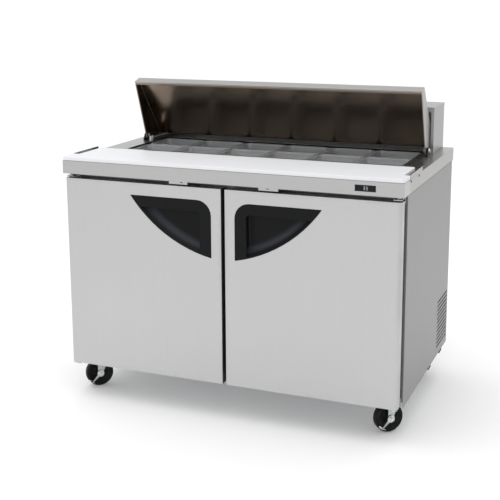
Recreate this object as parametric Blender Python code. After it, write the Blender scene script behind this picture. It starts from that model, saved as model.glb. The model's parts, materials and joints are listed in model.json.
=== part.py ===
import math

import bmesh
import bpy
from mathutils import Matrix

# Driving sizes in metres. X runs to the right, the front faces -Y, Z is up.
# Depths are counted backwards from the front face of the rail.
PAN_PITCH_X = 0.1755
PAN_PITCH_Y = 0.163
PAN_COLUMNS = 6
PAN_DEPTH = 0.098
PAN_WALL = 0.003
PAN_TAPER = 0.0095
RIM_WIDTH = 0.009
RIM_THICKNESS = 0.004
SEAT_DROP = 0.010
SIDE_MARGIN = 0.085
FRONT_STRIP = 0.312
REAR_STRIP = 0.117
WORKTOP_HEIGHT = 0.872
WORKTOP_SHEET = 0.0015
SKIRT = 0.002
RAIL_HEIGHT = 0.046
RAIL_DEPTH = 0.075
TAB_WIDTH = 0.069
TAB_PLACE = 0.128
TAB_DROP = 0.009
DISPLAY_WIDTH = 0.0685
DISPLAY_HEIGHT = 0.021
DOOR_TOP_GAP = 0.015
DOOR_SPLIT = 0.013
DOOR_THICKNESS = 0.036
DOOR_ROUNDING = 0.014
DOOR_LINER = 0.0137
GASKET_DEPTH = 0.0109
GASKET_WIDTH = 0.016
HANDLE_WIDTH = 0.303
HANDLE_HEIGHT = 0.197
HANDLE_DEPTH = 0.0285
HANDLE_CORNER = 0.052
HANDLE_BULGE = 0.035
POCKET_DEPTH = 0.0245
BOARD_DEPTH = 0.2305
BOARD_THICKNESS = 0.0127
BOARD_NOTCH = 0.021
EAR_HEIGHT = 0.0145
HOOD_HEIGHT = 0.168
HOOD_INSET = 0.040
HOOD_OVERHANG = 0.055
HOOD_SHEET = 0.0015
HOOD_LIP = 0.0115
LID_OPEN = math.radians(70)
LID_SKIN = 0.012
LID_LIP = 0.038
LID_CHEEK = 0.003
CABINET_WALL = 0.0485
FLOOR_THICKNESS = 0.053
PANEL_SHEET = 0.003
FRAME_SHEET = 0.005
MULLION_WIDTH = 0.060
MACHINE_HEIGHT = 0.240
LOUVRE_COUNT = 12
LOUVRE_PITCH = 0.0157
LOUVRE_SLOT = 0.007
LOUVRE_LENGTH = 0.170
GRILLE_WIDTH = 0.920
GRILLE_HEIGHT = 0.200
SHELF_SHEET = 0.005
WHEEL_RADIUS = 0.051
WHEEL_WIDTH = 0.031
CASTER_HEADROOM = 0.025
CASTER_TRAIL = 0.012
CASTER_TURN = math.radians(44)
GAP = 0.0003

OPENING_HALF = PAN_COLUMNS * PAN_PITCH_X / 2 + 0.0015
OPENING_REAR = FRONT_STRIP + 2 * PAN_PITCH_Y + 0.007
HALF_WIDTH = OPENING_HALF + SIDE_MARGIN
DEPTH = OPENING_REAR + REAR_STRIP
RAIL_BOTTOM = WORKTOP_HEIGHT - RAIL_HEIGHT
DOOR_TOP = RAIL_BOTTOM - DOOR_TOP_GAP
DOOR_BOTTOM = 2 * WHEEL_RADIUS + CASTER_HEADROOM
DOOR_BACK = DOOR_THICKNESS + GAP + DOOR_LINER
PANEL_X = HALF_WIDTH - 0.003
INNER_X = PANEL_X - 0.0055 - CABINET_WALL
FRAME_Y = DOOR_BACK + GAP + GASKET_DEPTH + 0.0008
HOOD_FRONT = OPENING_REAR - HOOD_OVERHANG
HOOD_X = HALF_WIDTH - HOOD_INSET
HINGE_X = HALF_WIDTH - 0.023
HINGE_Y = 0.022
PAN_SEAT = WORKTOP_HEIGHT - SEAT_DROP
PIVOT_Y = HOOD_FRONT - 0.050
PIVOT_Z = WORKTOP_HEIGHT + 0.020
FLOOR_TOP = DOOR_BOTTOM + FLOOR_THICKNESS
MACHINE_TOP = DOOR_BOTTOM + 0.003 + MACHINE_HEIGHT
SHELF_WALL = MACHINE_TOP + 0.050
LOWER_BACK = OPENING_REAR - 0.145
UPPER_BACK = DEPTH - 0.062
SHELF_Z = SHELF_WALL + 0.0253
HANDLE_SIDE = DOOR_SPLIT / 2 + 0.0365
HANDLE_TOP = DOOR_TOP - 0.043

MATERIALS = {
    "stainless": ((0.62, 0.62, 0.61), 1.0, 0.32),
    "mirror_steel": ((0.55, 0.54, 0.53), 1.0, 0.12),
    "liner_metal": ((0.70, 0.71, 0.72), 1.0, 0.40),
    "board_white": ((0.86, 0.87, 0.88), 0.0, 0.45),
    "clear_plastic": ((0.85, 0.87, 0.88), 0.0, 0.10),
    "black_plastic": ((0.03, 0.03, 0.032), 0.0, 0.45),
    "grey_gasket": ((0.10, 0.10, 0.105), 0.0, 0.70),
    "black_rubber": ((0.02, 0.02, 0.02), 0.0, 0.60),
    "zinc": ((0.60, 0.61, 0.62), 1.0, 0.30),
    "galvanised": ((0.50, 0.51, 0.52), 1.0, 0.55),
    "aluminium_fins": ((0.72, 0.73, 0.74), 1.0, 0.45),
    "black_paint": ((0.02, 0.02, 0.022), 0.0, 0.40),
    "epoxy_wire": ((0.75, 0.76, 0.76), 0.0, 0.40),
    "display_black": ((0.01, 0.01, 0.012), 0.0, 0.15),
}


def clear_scene():
    for obj in list(bpy.data.objects):
        bpy.data.objects.remove(obj)


def new_collection(name, hidden=False):
    collection = bpy.data.collections.new(name)
    bpy.context.scene.collection.children.link(collection)
    collection.hide_render = hidden
    return collection


def make_materials():
    for name, (colour, metallic, roughness) in MATERIALS.items():
        material = bpy.data.materials.new(name)
        material.use_nodes = True
        shader = material.node_tree.nodes["Principled BSDF"]
        shader.inputs["Base Color"].default_value = (*colour, 1)
        shader.inputs["Metallic"].default_value = metallic
        shader.inputs["Roughness"].default_value = roughness


def place(x, y, z):
    return (x, y - DEPTH / 2, z)


def add_solid(name, points, faces, material=None):
    """A mesh object with outward faces. Without a material it is a hidden operand."""
    mesh = bpy.data.meshes.new(name)
    work = bmesh.new()
    corners = [work.verts.new(place(*point)) for point in points]
    for face in faces:
        work.faces.new([corners[index] for index in face])
    bmesh.ops.recalc_face_normals(work, faces=work.faces)
    work.to_mesh(mesh)
    work.free()
    obj = bpy.data.objects.new(name, mesh)
    if material:
        mesh.materials.append(bpy.data.materials[material])
        PARTS.objects.link(obj)
    else:
        obj.hide_render = True
        obj.display_type = "WIRE"
        CUTTERS.objects.link(obj)
    return obj


def prism(name, outline, axis, low, high, material=None):
    """Extrudes an outline: (y, z) points along X, (x, z) along Y or (x, y) along Z."""
    points = []
    for level in (low, high):
        for a, b in outline:
            points.append({"X": (level, a, b), "Y": (a, level, b), "Z": (a, b, level)}[axis])
    count = len(outline)
    faces = [list(range(count)), list(range(count, 2 * count))]
    for i in range(count):
        j = (i + 1) % count
        faces.append([i, j, count + j, count + i])
    return add_solid(name, points, faces, material)


def box(name, x, y, z, material=None):
    """A box from its (low, high) pair along each axis."""
    outline = [(x[0], y[0]), (x[1], y[0]), (x[1], y[1]), (x[0], y[1])]
    return prism(name, outline, "Z", z[0], z[1], material)


def boxes(name, spans, material=None):
    """Several separate boxes in one mesh."""
    points = []
    faces = []
    for x, y, z in spans:
        start = len(points)
        points += [(a, b, c) for c in z for b in y for a in x]
        for face in ((0, 2, 3, 1), (4, 5, 7, 6), (0, 1, 5, 4), (2, 6, 7, 3), (0, 4, 6, 2), (1, 3, 7, 5)):
            faces.append([start + index for index in face])
    return add_solid(name, points, faces, material)


def loft(name, rings, material=None, wrap=False):
    """Joins rings of equal point counts. The ends are capped unless the rings wrap round."""
    count = len(rings[0])
    points = [point for ring in rings for point in ring]
    faces = []
    last = len(rings) if wrap else len(rings) - 1
    for r in range(last):
        start = r * count
        following = ((r + 1) % len(rings)) * count
        for i in range(count):
            j = (i + 1) % count
            faces.append([start + i, start + j, following + j, following + i])
    if not wrap:
        faces.append(list(range(count)))
        faces.append(list(range(len(points) - count, len(points))))
    return add_solid(name, points, faces, material)


def circle(centre, radius, axis, steps, offset=0.0):
    """Points of a circle about X, Y or Z, moved along that axis by the offset."""
    ring = []
    for i in range(steps):
        angle = 2 * math.pi * i / steps
        a = radius * math.cos(angle)
        b = radius * math.sin(angle)
        dx, dy, dz = {"X": (offset, a, b), "Y": (a, offset, b), "Z": (a, b, offset)}[axis]
        ring.append((centre[0] + dx, centre[1] + dy, centre[2] + dz))
    return ring


def turned(name, centre, axis, profile, steps, material=None):
    """A solid of revolution from (radius, offset) pairs that run along the axis."""
    rings = [circle(centre, radius, axis, steps, offset) for radius, offset in profile]
    return loft(name, rings, material)


def ring_solid(name, centre, axis, profile, steps, material=None):
    """A revolved ring with a bore, from a closed loop of (radius, offset) pairs."""
    rings = [circle(centre, radius, axis, steps, offset) for radius, offset in profile]
    return loft(name, rings, material, wrap=True)


def rounded_ring(centre_x, centre_y, half_x, half_y, radius, z, steps=3):
    ring = []
    for corner, (sx, sy) in enumerate(((1, 1), (-1, 1), (-1, -1), (1, -1))):
        for i in range(steps + 1):
            angle = math.pi / 2 * (corner + i / steps)
            x = centre_x + sx * (half_x - radius) + radius * math.cos(angle)
            y = centre_y + sy * (half_y - radius) + radius * math.sin(angle)
            ring.append((x, y, z))
    return ring


def combine(target, other, operation):
    modifier = target.modifiers.new(operation.lower(), "BOOLEAN")
    modifier.operation = operation
    modifier.solver = "EXACT"
    modifier.object = other


def cut(target, *others):
    for other in others:
        combine(target, other, "DIFFERENCE")


def unite(target, *others):
    for other in others:
        combine(target, other, "UNION")


def move_origin(obj, x, y, z):
    """Puts the object's origin at a point and leaves its shape where it is."""
    point = place(x, y, z)
    obj.data.transform(Matrix.Translation([-value for value in point]))
    obj.location = point


def mirrored(outline, side):
    return [(side * x, other) for x, other in outline]


def span(side, near, far):
    """The (low, high) pair between two distances from the middle, on the given side."""
    return tuple(sorted((side * near, side * far)))


def make_cabinet():
    for side, name in ((-1, "left"), (1, "right")):
        panel = box(
            f"side_panel_{name}",
            span(side, PANEL_X - PANEL_SHEET, PANEL_X),
            (FRAME_Y, DEPTH - 0.005),
            (DOOR_BOTTOM - 0.015, WORKTOP_HEIGHT - 0.0025),
            "stainless",
        )
        if side == 1:
            across = (PANEL_X - 0.01, PANEL_X + 0.01)
            along = (DEPTH - 0.016 - LOUVRE_LENGTH, DEPTH - 0.016)
            slots = []
            for i in range(LOUVRE_COUNT):
                low = DOOR_BOTTOM + 0.0155 + i * LOUVRE_PITCH
                slots.append((across, along, (low, low + LOUVRE_SLOT)))
            cut(panel, boxes("louvre_cutter", slots))

    between = PANEL_X - PANEL_SHEET - 0.0005
    back = box(
        "back_panel",
        (-between, between),
        (DEPTH - 0.005 - WORKTOP_SHEET, DEPTH - 0.005),
        (DOOR_BOTTOM + 0.006, WORKTOP_HEIGHT - 0.0025),
        "galvanised",
    )
    half = GRILLE_WIDTH / 2
    low = DOOR_BOTTOM + 0.018
    high = low + GRILLE_HEIGHT
    opening = box(
        "grille_opening",
        (0.020 - half, half - 0.020),
        (DEPTH - 0.02, DEPTH),
        (low + 0.015, high - 0.015),
    )
    cut(back, opening)

    grille = box(
        "rear_grille",
        (-half, half),
        (DEPTH - 0.0047, DEPTH - 0.0017),
        (low, high),
        "black_paint",
    )
    slots = []
    pitch_x = (GRILLE_WIDTH - 0.0267) / 4
    pitch_z = (GRILLE_HEIGHT - 0.020) / 9
    for row in range(9):
        slot_z = low + 0.014 + row * pitch_z
        for column in range(4):
            left = 0.020 - half + column * pitch_x
            slots.append((
                (left, left + pitch_x - 0.0133),
                (DEPTH - 0.02, DEPTH + 0.01),
                (slot_z, slot_z + pitch_z - 0.008),
            ))
    cut(grille, boxes("grille_slots", slots))

    base = box(
        "base_plate",
        (-between, between),
        (FRAME_Y + 0.004, DEPTH - 0.0068),
        (DOOR_BOTTOM + 0.0015, DOOR_BOTTOM + 0.0055),
        "galvanised",
    )
    plates = []
    plate_z = (DOOR_BOTTOM - 0.0015, DOOR_BOTTOM + 0.0025)
    for x, y in caster_places():
        plates.append(((x - 0.045, x + 0.045), (y - 0.035, y + 0.035), plate_z))
    unite(base, boxes("caster_plates", plates))

    liner = box(
        "cabinet_liner",
        (-between + 0.002, between - 0.002),
        (FRAME_Y + FRAME_SHEET + GAP, DEPTH - 0.0075),
        (DOOR_BOTTOM + 0.0058, RAIL_BOTTOM - 0.0005),
        "liner_metal",
    )
    cut(
        liner,
        box("lower_space", (-INNER_X, INNER_X), (0.02, LOWER_BACK), (FLOOR_TOP, WORKTOP_HEIGHT + 0.05)),
        box("upper_space", (-INNER_X, INNER_X), (0.03, UPPER_BACK), (SHELF_WALL, WORKTOP_HEIGHT + 0.06)),
        box(
            "machine_space",
            (-HALF_WIDTH - 0.06, HALF_WIDTH + 0.06),
            (LOWER_BACK + 0.05, DEPTH + 0.04),
            (DOOR_BOTTOM - 0.07, MACHINE_TOP),
        ),
    )
    ledge_y = (FRAME_Y + 0.058, LOWER_BACK - 0.02)
    ledge_z = (SHELF_Z - 0.0083, SHELF_Z - GAP)
    ledges = [(span(side, INNER_X - 0.009, INNER_X + 0.004), ledge_y, ledge_z) for side in (-1, 1)]
    unite(liner, boxes("shelf_ledges", ledges))

    frame = box(
        "front_frame",
        (-between, between),
        (FRAME_Y, FRAME_Y + FRAME_SHEET),
        (DOOR_BOTTOM + 0.006, RAIL_BOTTOM - 0.0005),
        "stainless",
    )
    doorway_z = (FLOOR_TOP, DOOR_TOP - 0.046)
    doorways = [(span(side, MULLION_WIDTH / 2, INNER_X), (0.0, 0.2), doorway_z) for side in (-1, 1)]
    cut(frame, boxes("doorways", doorways))
    mullion = MULLION_WIDTH / 2 - 0.0005
    mullion_z = (FLOOR_TOP + 0.0005, DOOR_TOP - 0.0465)
    unite(frame, box("mullion", (-mullion, mullion), (FRAME_Y + 0.004, FRAME_Y + 0.043), mullion_z))


def make_top():
    worktop = box(
        "worktop",
        (-HALF_WIDTH, HALF_WIDTH),
        (RAIL_DEPTH + GAP, DEPTH),
        (RAIL_BOTTOM, WORKTOP_HEIGHT),
        "stainless",
    )
    hollow = HALF_WIDTH - SKIRT
    cut(
        worktop,
        box(
            "worktop_hollow",
            (-hollow, hollow),
            (RAIL_DEPTH - 0.025, DEPTH - SKIRT),
            (RAIL_BOTTOM - 0.03, WORKTOP_HEIGHT - WORKTOP_SHEET),
        ),
        box(
            "pan_cutout",
            (-OPENING_HALF, OPENING_HALF),
            (FRONT_STRIP, OPENING_REAR),
            (RAIL_BOTTOM, WORKTOP_HEIGHT + 0.02),
        ),
    )
    ears = []
    for side in (-1, 1):
        ears.append((
            span(side, HALF_WIDTH - SKIRT - 0.0002, HALF_WIDTH - 0.0004),
            (RAIL_DEPTH + 0.003, BOARD_DEPTH + 0.0145),
            (RAIL_BOTTOM + 0.012, WORKTOP_HEIGHT + EAR_HEIGHT),
        ))
    unite(worktop, boxes("board_ears", ears))

    rail = box(
        "front_rail",
        (-HALF_WIDTH, HALF_WIDTH),
        (0, RAIL_DEPTH),
        (RAIL_BOTTOM, WORKTOP_HEIGHT),
        "stainless",
    )
    rail_hollow = box(
        "rail_hollow",
        (-hollow, hollow),
        (SKIRT, RAIL_DEPTH + 0.015),
        (RAIL_BOTTOM - 0.02, WORKTOP_HEIGHT - SKIRT),
    )
    cut(rail, rail_hollow)
    tab_y = (0.0004, SKIRT + 0.0004)
    tab_z = (RAIL_BOTTOM - TAB_DROP, RAIL_BOTTOM + 0.004)
    tabs = [(span(side, TAB_PLACE, TAB_PLACE + TAB_WIDTH), tab_y, tab_z) for side in (-1, 1)]
    unite(rail, boxes("rail_tabs", tabs))
    left = HALF_WIDTH - 0.091 - DISPLAY_WIDTH
    low = (RAIL_BOTTOM + WORKTOP_HEIGHT - DISPLAY_HEIGHT) / 2
    right = left + DISPLAY_WIDTH
    high = low + DISPLAY_HEIGHT
    cut(rail, box("display_window", (left, right), (-0.01, 0.01), (low, high)))
    box(
        "temperature_display",
        (left + GAP, right - GAP),
        (GAP, 0.012),
        (low + GAP, high - GAP),
        "display_black",
    )

    seat = box(
        "pan_seat_frame",
        (-OPENING_HALF - 0.047, OPENING_HALF + 0.047),
        (FRONT_STRIP - 0.027, DEPTH - 0.050),
        (RAIL_BOTTOM - 0.0002, PAN_SEAT),
        "black_plastic",
    )
    well = OPENING_HALF + 0.032
    well_y = (FRONT_STRIP - 0.015, UPPER_BACK)
    cut(seat, box("well_hollow", (-well, well), well_y, (RAIL_BOTTOM - 0.02, PAN_SEAT - 0.010)))
    holes = []
    ledge = RIM_WIDTH - 0.0010
    for x, y in pan_places():
        holes.append((
            (x - PAN_PITCH_X / 2 + ledge, x + PAN_PITCH_X / 2 - ledge),
            (y - PAN_PITCH_Y / 2 + ledge, y + PAN_PITCH_Y / 2 - ledge),
            (PAN_SEAT - 0.03, PAN_SEAT + 0.02),
        ))
    cut(seat, boxes("pan_holes", holes))

    top = WORKTOP_HEIGHT + HOOD_HEIGHT
    hood = box(
        "rear_hood",
        (-HOOD_X, HOOD_X),
        (HOOD_FRONT, DEPTH),
        (WORKTOP_HEIGHT + GAP, top),
        "stainless",
    )
    mouth = HOOD_X - HOOD_LIP
    sheet = HOOD_SHEET
    cut(
        hood,
        box(
            "hood_hollow",
            (sheet - HOOD_X, HOOD_X - sheet),
            (HOOD_FRONT + sheet, DEPTH - sheet),
            (WORKTOP_HEIGHT - 0.02, top - sheet),
        ),
        box(
            "hood_mouth",
            (-mouth, mouth),
            (HOOD_FRONT - 0.01, HOOD_FRONT + 0.01),
            (WORKTOP_HEIGHT - 0.03, top - 0.018),
        ),
    )

    for side, name in ((-1, "left"), (1, "right")):
        outline = [
            (PIVOT_Y - 0.022, WORKTOP_HEIGHT + GAP),
            (PIVOT_Y + 0.022, WORKTOP_HEIGHT + GAP),
            (PIVOT_Y + 0.022, WORKTOP_HEIGHT + 0.0035),
            (PIVOT_Y + 0.009, PIVOT_Z + 0.006),
            (PIVOT_Y + 0.004, PIVOT_Z + 0.010),
            (PIVOT_Y - 0.004, PIVOT_Z + 0.010),
            (PIVOT_Y - 0.009, PIVOT_Z + 0.006),
            (PIVOT_Y - 0.022, WORKTOP_HEIGHT + 0.0035),
        ]
        low, high = span(side, mouth + 0.0005, mouth + 0.0065)
        prism(f"lid_pivot_{name}", outline, "X", low, high, "black_plastic")

    step = RAIL_DEPTH + 0.0015
    notch = HALF_WIDTH - BOARD_NOTCH
    half = [
        (HALF_WIDTH - 0.004, 0), (HALF_WIDTH, 0.004), (HALF_WIDTH, step), (notch, step),
        (notch, BOARD_DEPTH - 0.006), (notch - 0.006, BOARD_DEPTH),
    ]
    board = half + [(-x, y) for x, y in reversed(half)]
    low = WORKTOP_HEIGHT + GAP
    prism("cutting_board", board, "Z", low, low + BOARD_THICKNESS, "board_white")


def pan_places():
    """The middle of each pan, the front row first, from left to right."""
    middle = (FRONT_STRIP + OPENING_REAR) / 2
    places = []
    for y in (middle - PAN_PITCH_Y / 2, middle + PAN_PITCH_Y / 2):
        for column in range(PAN_COLUMNS):
            places.append(((column - (PAN_COLUMNS - 1) / 2) * PAN_PITCH_X, y))
    return places


def make_pans():
    wall = PAN_WALL
    low = PAN_SEAT + GAP
    rim = low + RIM_THICKNESS
    for index, (x, y) in enumerate(pan_places()):
        rim_x = PAN_PITCH_X / 2 - 0.0008
        rim_y = PAN_PITCH_Y / 2 - 0.0013
        top_x = rim_x - RIM_WIDTH
        top_y = rim_y - RIM_WIDTH
        end_x = top_x - PAN_TAPER
        end_y = top_y - PAN_TAPER
        rings = [
            rounded_ring(x, y, end_x - wall, end_y - wall, 0.018, low - PAN_DEPTH + wall),
            rounded_ring(x, y, top_x - wall, top_y - wall, 0.020, rim),
            rounded_ring(x, y, rim_x, rim_y, 0.012, rim),
            rounded_ring(x, y, rim_x, rim_y, 0.012, low),
            rounded_ring(x, y, top_x, top_y, 0.022, low),
            rounded_ring(x, y, end_x, end_y, 0.020, low - PAN_DEPTH),
        ]
        row = "front" if index < PAN_COLUMNS else "rear"
        loft(f"pan_{row}_{index % PAN_COLUMNS + 1}", rings, "clear_plastic")


def lid_point(y, z):
    """A point of the closed lid, turned to the open position about the pivots."""
    dy = y - PIVOT_Y
    dz = z - PIVOT_Z
    c = math.cos(LID_OPEN)
    s = math.sin(LID_OPEN)
    return (PIVOT_Y + dy * c + dz * s, PIVOT_Z - dy * s + dz * c)


def opened(outline):
    return [lid_point(y, z) for y, z in outline]


def make_lid():
    base = WORKTOP_HEIGHT + 0.0045
    lip = FRONT_STRIP - 0.012
    back_y = HOOD_FRONT - 0.006
    back_z = WORKTOP_HEIGHT + HOOD_HEIGHT - 0.037
    front_z = base + LID_LIP
    slope = math.atan2(back_z - front_z, back_y - lip - 0.002)
    half = HOOD_X - HOOD_LIP - 0.002

    def under(depth, y):
        """Height below the top face at a given distance back, at a given depth under it."""
        return front_z + (y - lip - 0.002) * math.tan(slope) - depth / math.cos(slope)

    shell = [(lip, base), (lip + 0.002, front_z), (back_y, back_z), (PIVOT_Y + 0.006, base)]
    lid = prism("lid_shell", opened(shell), "X", -half, half, "stainless")
    start = lip + LID_SKIN
    far = back_y + 0.10
    cavity = [
        (start, base - 0.03), (start, under(LID_SKIN, start)),
        (far, under(LID_SKIN, far)), (far, base - 0.03),
    ]
    cut(lid, prism("lid_cavity", opened(cavity), "X", LID_CHEEK - half, half - LID_CHEEK))

    start += GAP
    inset = half - LID_CHEEK - GAP
    end = back_y - 0.004
    depth = LID_SKIN + GAP
    skin = [
        (start, base + 0.001), (start, under(depth, start)),
        (end, under(depth, end)), (PIVOT_Y + 0.003, base + 0.001),
    ]
    liner = prism("lid_liner", opened(skin), "X", -inset, inset, "mirror_steel")
    start += 0.002
    depth += 0.002
    hollow = [
        (start, base - 0.03), (start, under(depth, start)),
        (far, under(depth, far)), (far, base - 0.03),
    ]
    cut(liner, prism("lid_liner_hollow", opened(hollow), "X", 0.0017 - inset, inset - 0.0017))
    for obj in (lid, liner):
        move_origin(obj, 0, PIVOT_Y, PIVOT_Z)


def handle_arc():
    """Centre and radius of the arc from the handle's tip to its lower end, bulging outwards."""
    low = (HANDLE_SIDE, HANDLE_TOP - HANDLE_HEIGHT)
    high = (HANDLE_SIDE + HANDLE_WIDTH, HANDLE_TOP)
    chord = math.hypot(HANDLE_WIDTH, HANDLE_HEIGHT)
    radius = (chord * chord / 4 + HANDLE_BULGE * HANDLE_BULGE) / (2 * HANDLE_BULGE)
    reach = (radius - HANDLE_BULGE) / chord
    centre_x = (low[0] + high[0]) / 2 - reach * HANDLE_HEIGHT
    centre_z = (low[1] + high[1]) / 2 + reach * HANDLE_WIDTH
    return centre_x, centre_z, radius


def handle_outline(grow):
    """The handle's face in (x, z) on the right door, larger all round by the given amount."""
    side = HANDLE_SIDE
    top = HANDLE_TOP
    corner = HANDLE_CORNER
    points = []
    for i in range(7):
        angle = math.pi / 2 * (1 + i / 6)
        x = side + corner + (corner + grow) * math.cos(angle)
        z = top - corner + (corner + grow) * math.sin(angle)
        points.append((x, z))
    centre_x, centre_z, radius = handle_arc()
    radius += grow
    start = -math.acos((side - grow - centre_x) / radius)
    end = math.asin((top + grow - centre_z) / radius)
    for i in range(13):
        angle = start + (end - start) * i / 12
        points.append((centre_x + radius * math.cos(angle), centre_z + radius * math.sin(angle)))
    return points


def pocket_outline():
    """The finger pocket inside the handle's face."""
    centre_x, centre_z, radius = handle_arc()
    radius -= 0.008
    left = HANDLE_SIDE + 0.041
    upper = HANDLE_TOP - 0.037
    start = -math.acos((left - centre_x) / radius)
    end = math.asin((upper - centre_z) / radius)
    points = [(left + 0.010, upper), (left + 0.003, upper - 0.003), (left, upper - 0.010)]
    for i in range(9):
        angle = start + (end - start) * i / 8
        points.append((centre_x + radius * math.cos(angle), centre_z + radius * math.sin(angle)))
    return points


def make_doors():
    edge = DOOR_SPLIT / 2
    outer = HALF_WIDTH - 0.007
    rounding = DOOR_ROUNDING
    for side, name in ((-1, "left"), (1, "right")):
        outline = [(edge, DOOR_THICKNESS), (edge, 0.0015), (edge + 0.0015, 0)]
        for i in range(6):
            angle = math.pi / 2 * (i / 5 - 1)
            outline.append((
                outer - rounding + rounding * math.cos(angle),
                rounding + rounding * math.sin(angle),
            ))
        outline.append((outer, DOOR_THICKNESS))
        outline = mirrored(outline, side)
        panel = prism(f"door_{name}_panel", outline, "Z", DOOR_BOTTOM, DOOR_TOP, "stainless")
        around = mirrored(handle_outline(GAP), side)
        recess = prism(f"handle_recess_{name}", around, "Y", -0.02, HANDLE_DEPTH + GAP)
        cut(panel, recess)

        edges = mirrored(handle_outline(0), side)
        grip = prism(f"door_{name}_handle", edges, "Y", 0, HANDLE_DEPTH, "black_plastic")
        pocket = mirrored(pocket_outline(), side)
        cut(grip, prism(f"handle_pocket_{name}", pocket, "Y", -0.02, POCKET_DEPTH))

        inner = box(
            f"door_{name}_liner",
            span(side, edge + 0.004, outer - 0.006),
            (DOOR_THICKNESS + GAP, DOOR_BACK),
            (DOOR_BOTTOM + 0.006, DOOR_TOP - 0.006),
            "liner_metal",
        )
        dish = box(
            f"liner_dish_{name}",
            span(side, edge + 0.0435, outer - 0.060),
            (DOOR_BACK - 0.006, DOOR_BACK + 0.03),
            (DOOR_BOTTOM + 0.070, DOOR_TOP - 0.080),
        )
        cut(inner, dish)

        seal = box(
            f"door_{name}_gasket",
            span(side, edge + 0.0035, HINGE_X - 0.004),
            (DOOR_BACK + GAP, DOOR_BACK + GAP + GASKET_DEPTH),
            (DOOR_BOTTOM + 0.023, DOOR_TOP - 0.021),
            "grey_gasket",
        )
        hole_x = span(side, edge + 0.0035 + GASKET_WIDTH, HINGE_X - 0.004 - GASKET_WIDTH)
        hole_z = (DOOR_BOTTOM + 0.023 + GASKET_WIDTH, DOOR_TOP - 0.021 - GASKET_WIDTH)
        cut(seal, box(f"gasket_hole_{name}", hole_x, (0.03, 0.09), hole_z))
        for obj in (panel, grip, inner, seal):
            move_origin(obj, side * HINGE_X, HINGE_Y, (DOOR_BOTTOM + DOOR_TOP) / 2)

        x_low, x_high = span(side, HINGE_X - 0.015, HINGE_X + 0.013)
        back = FRAME_Y - GAP
        flange = back - 0.004
        z = DOOR_TOP + 0.003
        upper = [
            (0.010, z), (flange, z), (flange, z - 0.019),
            (back, z - 0.019), (back, z + 0.004), (0.010, z + 0.004),
        ]
        prism(f"hinge_{name}_top", upper, "X", x_low, x_high, "zinc")
        z = DOOR_BOTTOM - 0.003
        lower = [
            (0.010, z), (0.010, z - 0.004), (back, z - 0.004),
            (back, z + 0.023), (flange, z + 0.023), (flange, z),
        ]
        prism(f"hinge_{name}_bottom", lower, "X", x_low, x_high, "zinc")


def make_shelves():
    low = SHELF_Z
    for side, name in ((-1, "left"), (1, "right")):
        near = MULLION_WIDTH / 2 + 0.004
        far = INNER_X - 0.004
        front = FRAME_Y + 0.063
        back = LOWER_BACK - 0.012
        shelf = box(
            f"shelf_{name}",
            span(side, near, far),
            (front, back),
            (low, low + SHELF_SHEET),
            "epoxy_wire",
        )
        slots = []
        count = 14
        pitch = (far - near - 0.006) / count
        length = (back - front - 0.018) / 2
        for i in range(count):
            start = near + 0.006 + i * pitch
            for row in range(2):
                near_y = front + 0.006 + row * (length + 0.006)
                slots.append((
                    span(side, start, start + pitch - 0.006),
                    (near_y, near_y + length),
                    (low - 0.01, low + 0.02),
                ))
        cut(shelf, boxes(f"shelf_slots_{name}", slots))


def fan(name, centre, axis, hub, tip, material):
    """A hub with four flat blades set at a slant."""
    profile = [(hub * 0.6, -0.012), (hub, -0.008), (hub, 0.010), (hub * 0.6, 0.012)]
    rotor = turned(name, centre, axis, profile, 16, material)
    points = []
    faces = []
    for blade in range(4):
        angle = math.pi / 2 * blade
        start = len(points)
        for r, half, lift in ((hub * 0.5, 0.014, 0.003), (tip, 0.028, 0.006)):
            for along, offset, thick in (
                (-half, -lift, 0), (half, lift, 0), (half, lift, 0.002), (-half, -lift, 0.002),
            ):
                a = r * math.cos(angle) - along * math.sin(angle)
                b = r * math.sin(angle) + along * math.cos(angle)
                move = offset + thick
                dx, dy, dz = (move, a, b) if axis == "X" else (a, move, b)
                points.append((centre[0] + dx, centre[1] + dy, centre[2] + dz))
        for face in ((0, 1, 2, 3), (4, 5, 6, 7), (0, 1, 5, 4), (1, 2, 6, 5), (2, 3, 7, 6), (3, 0, 4, 7)):
            faces.append([start + index for index in face])
    unite(rotor, add_solid(f"{name}_blades", points, faces))
    move_origin(rotor, *centre)
    return rotor


def comb(name, x, y, z, fins, material):
    """A finned block: the fins stand on a back plate along X."""
    pitch = (x[1] - x[0]) / fins
    outline = [(x[0], y[1]), (x[0], y[0])]
    for i in range(fins):
        start = x[0] + i * pitch
        if i:
            outline.append((start, y[0]))
        outline.append((start + pitch * 0.4, y[0]))
        if i < fins - 1:
            outline += [(start + pitch * 0.4, y[1] - 0.008), (start + pitch, y[1] - 0.008)]
    outline.append((x[0] + (fins - 1) * pitch + pitch * 0.4, y[1]))
    return prism(name, outline, "Z", z[0], z[1], material)


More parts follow.
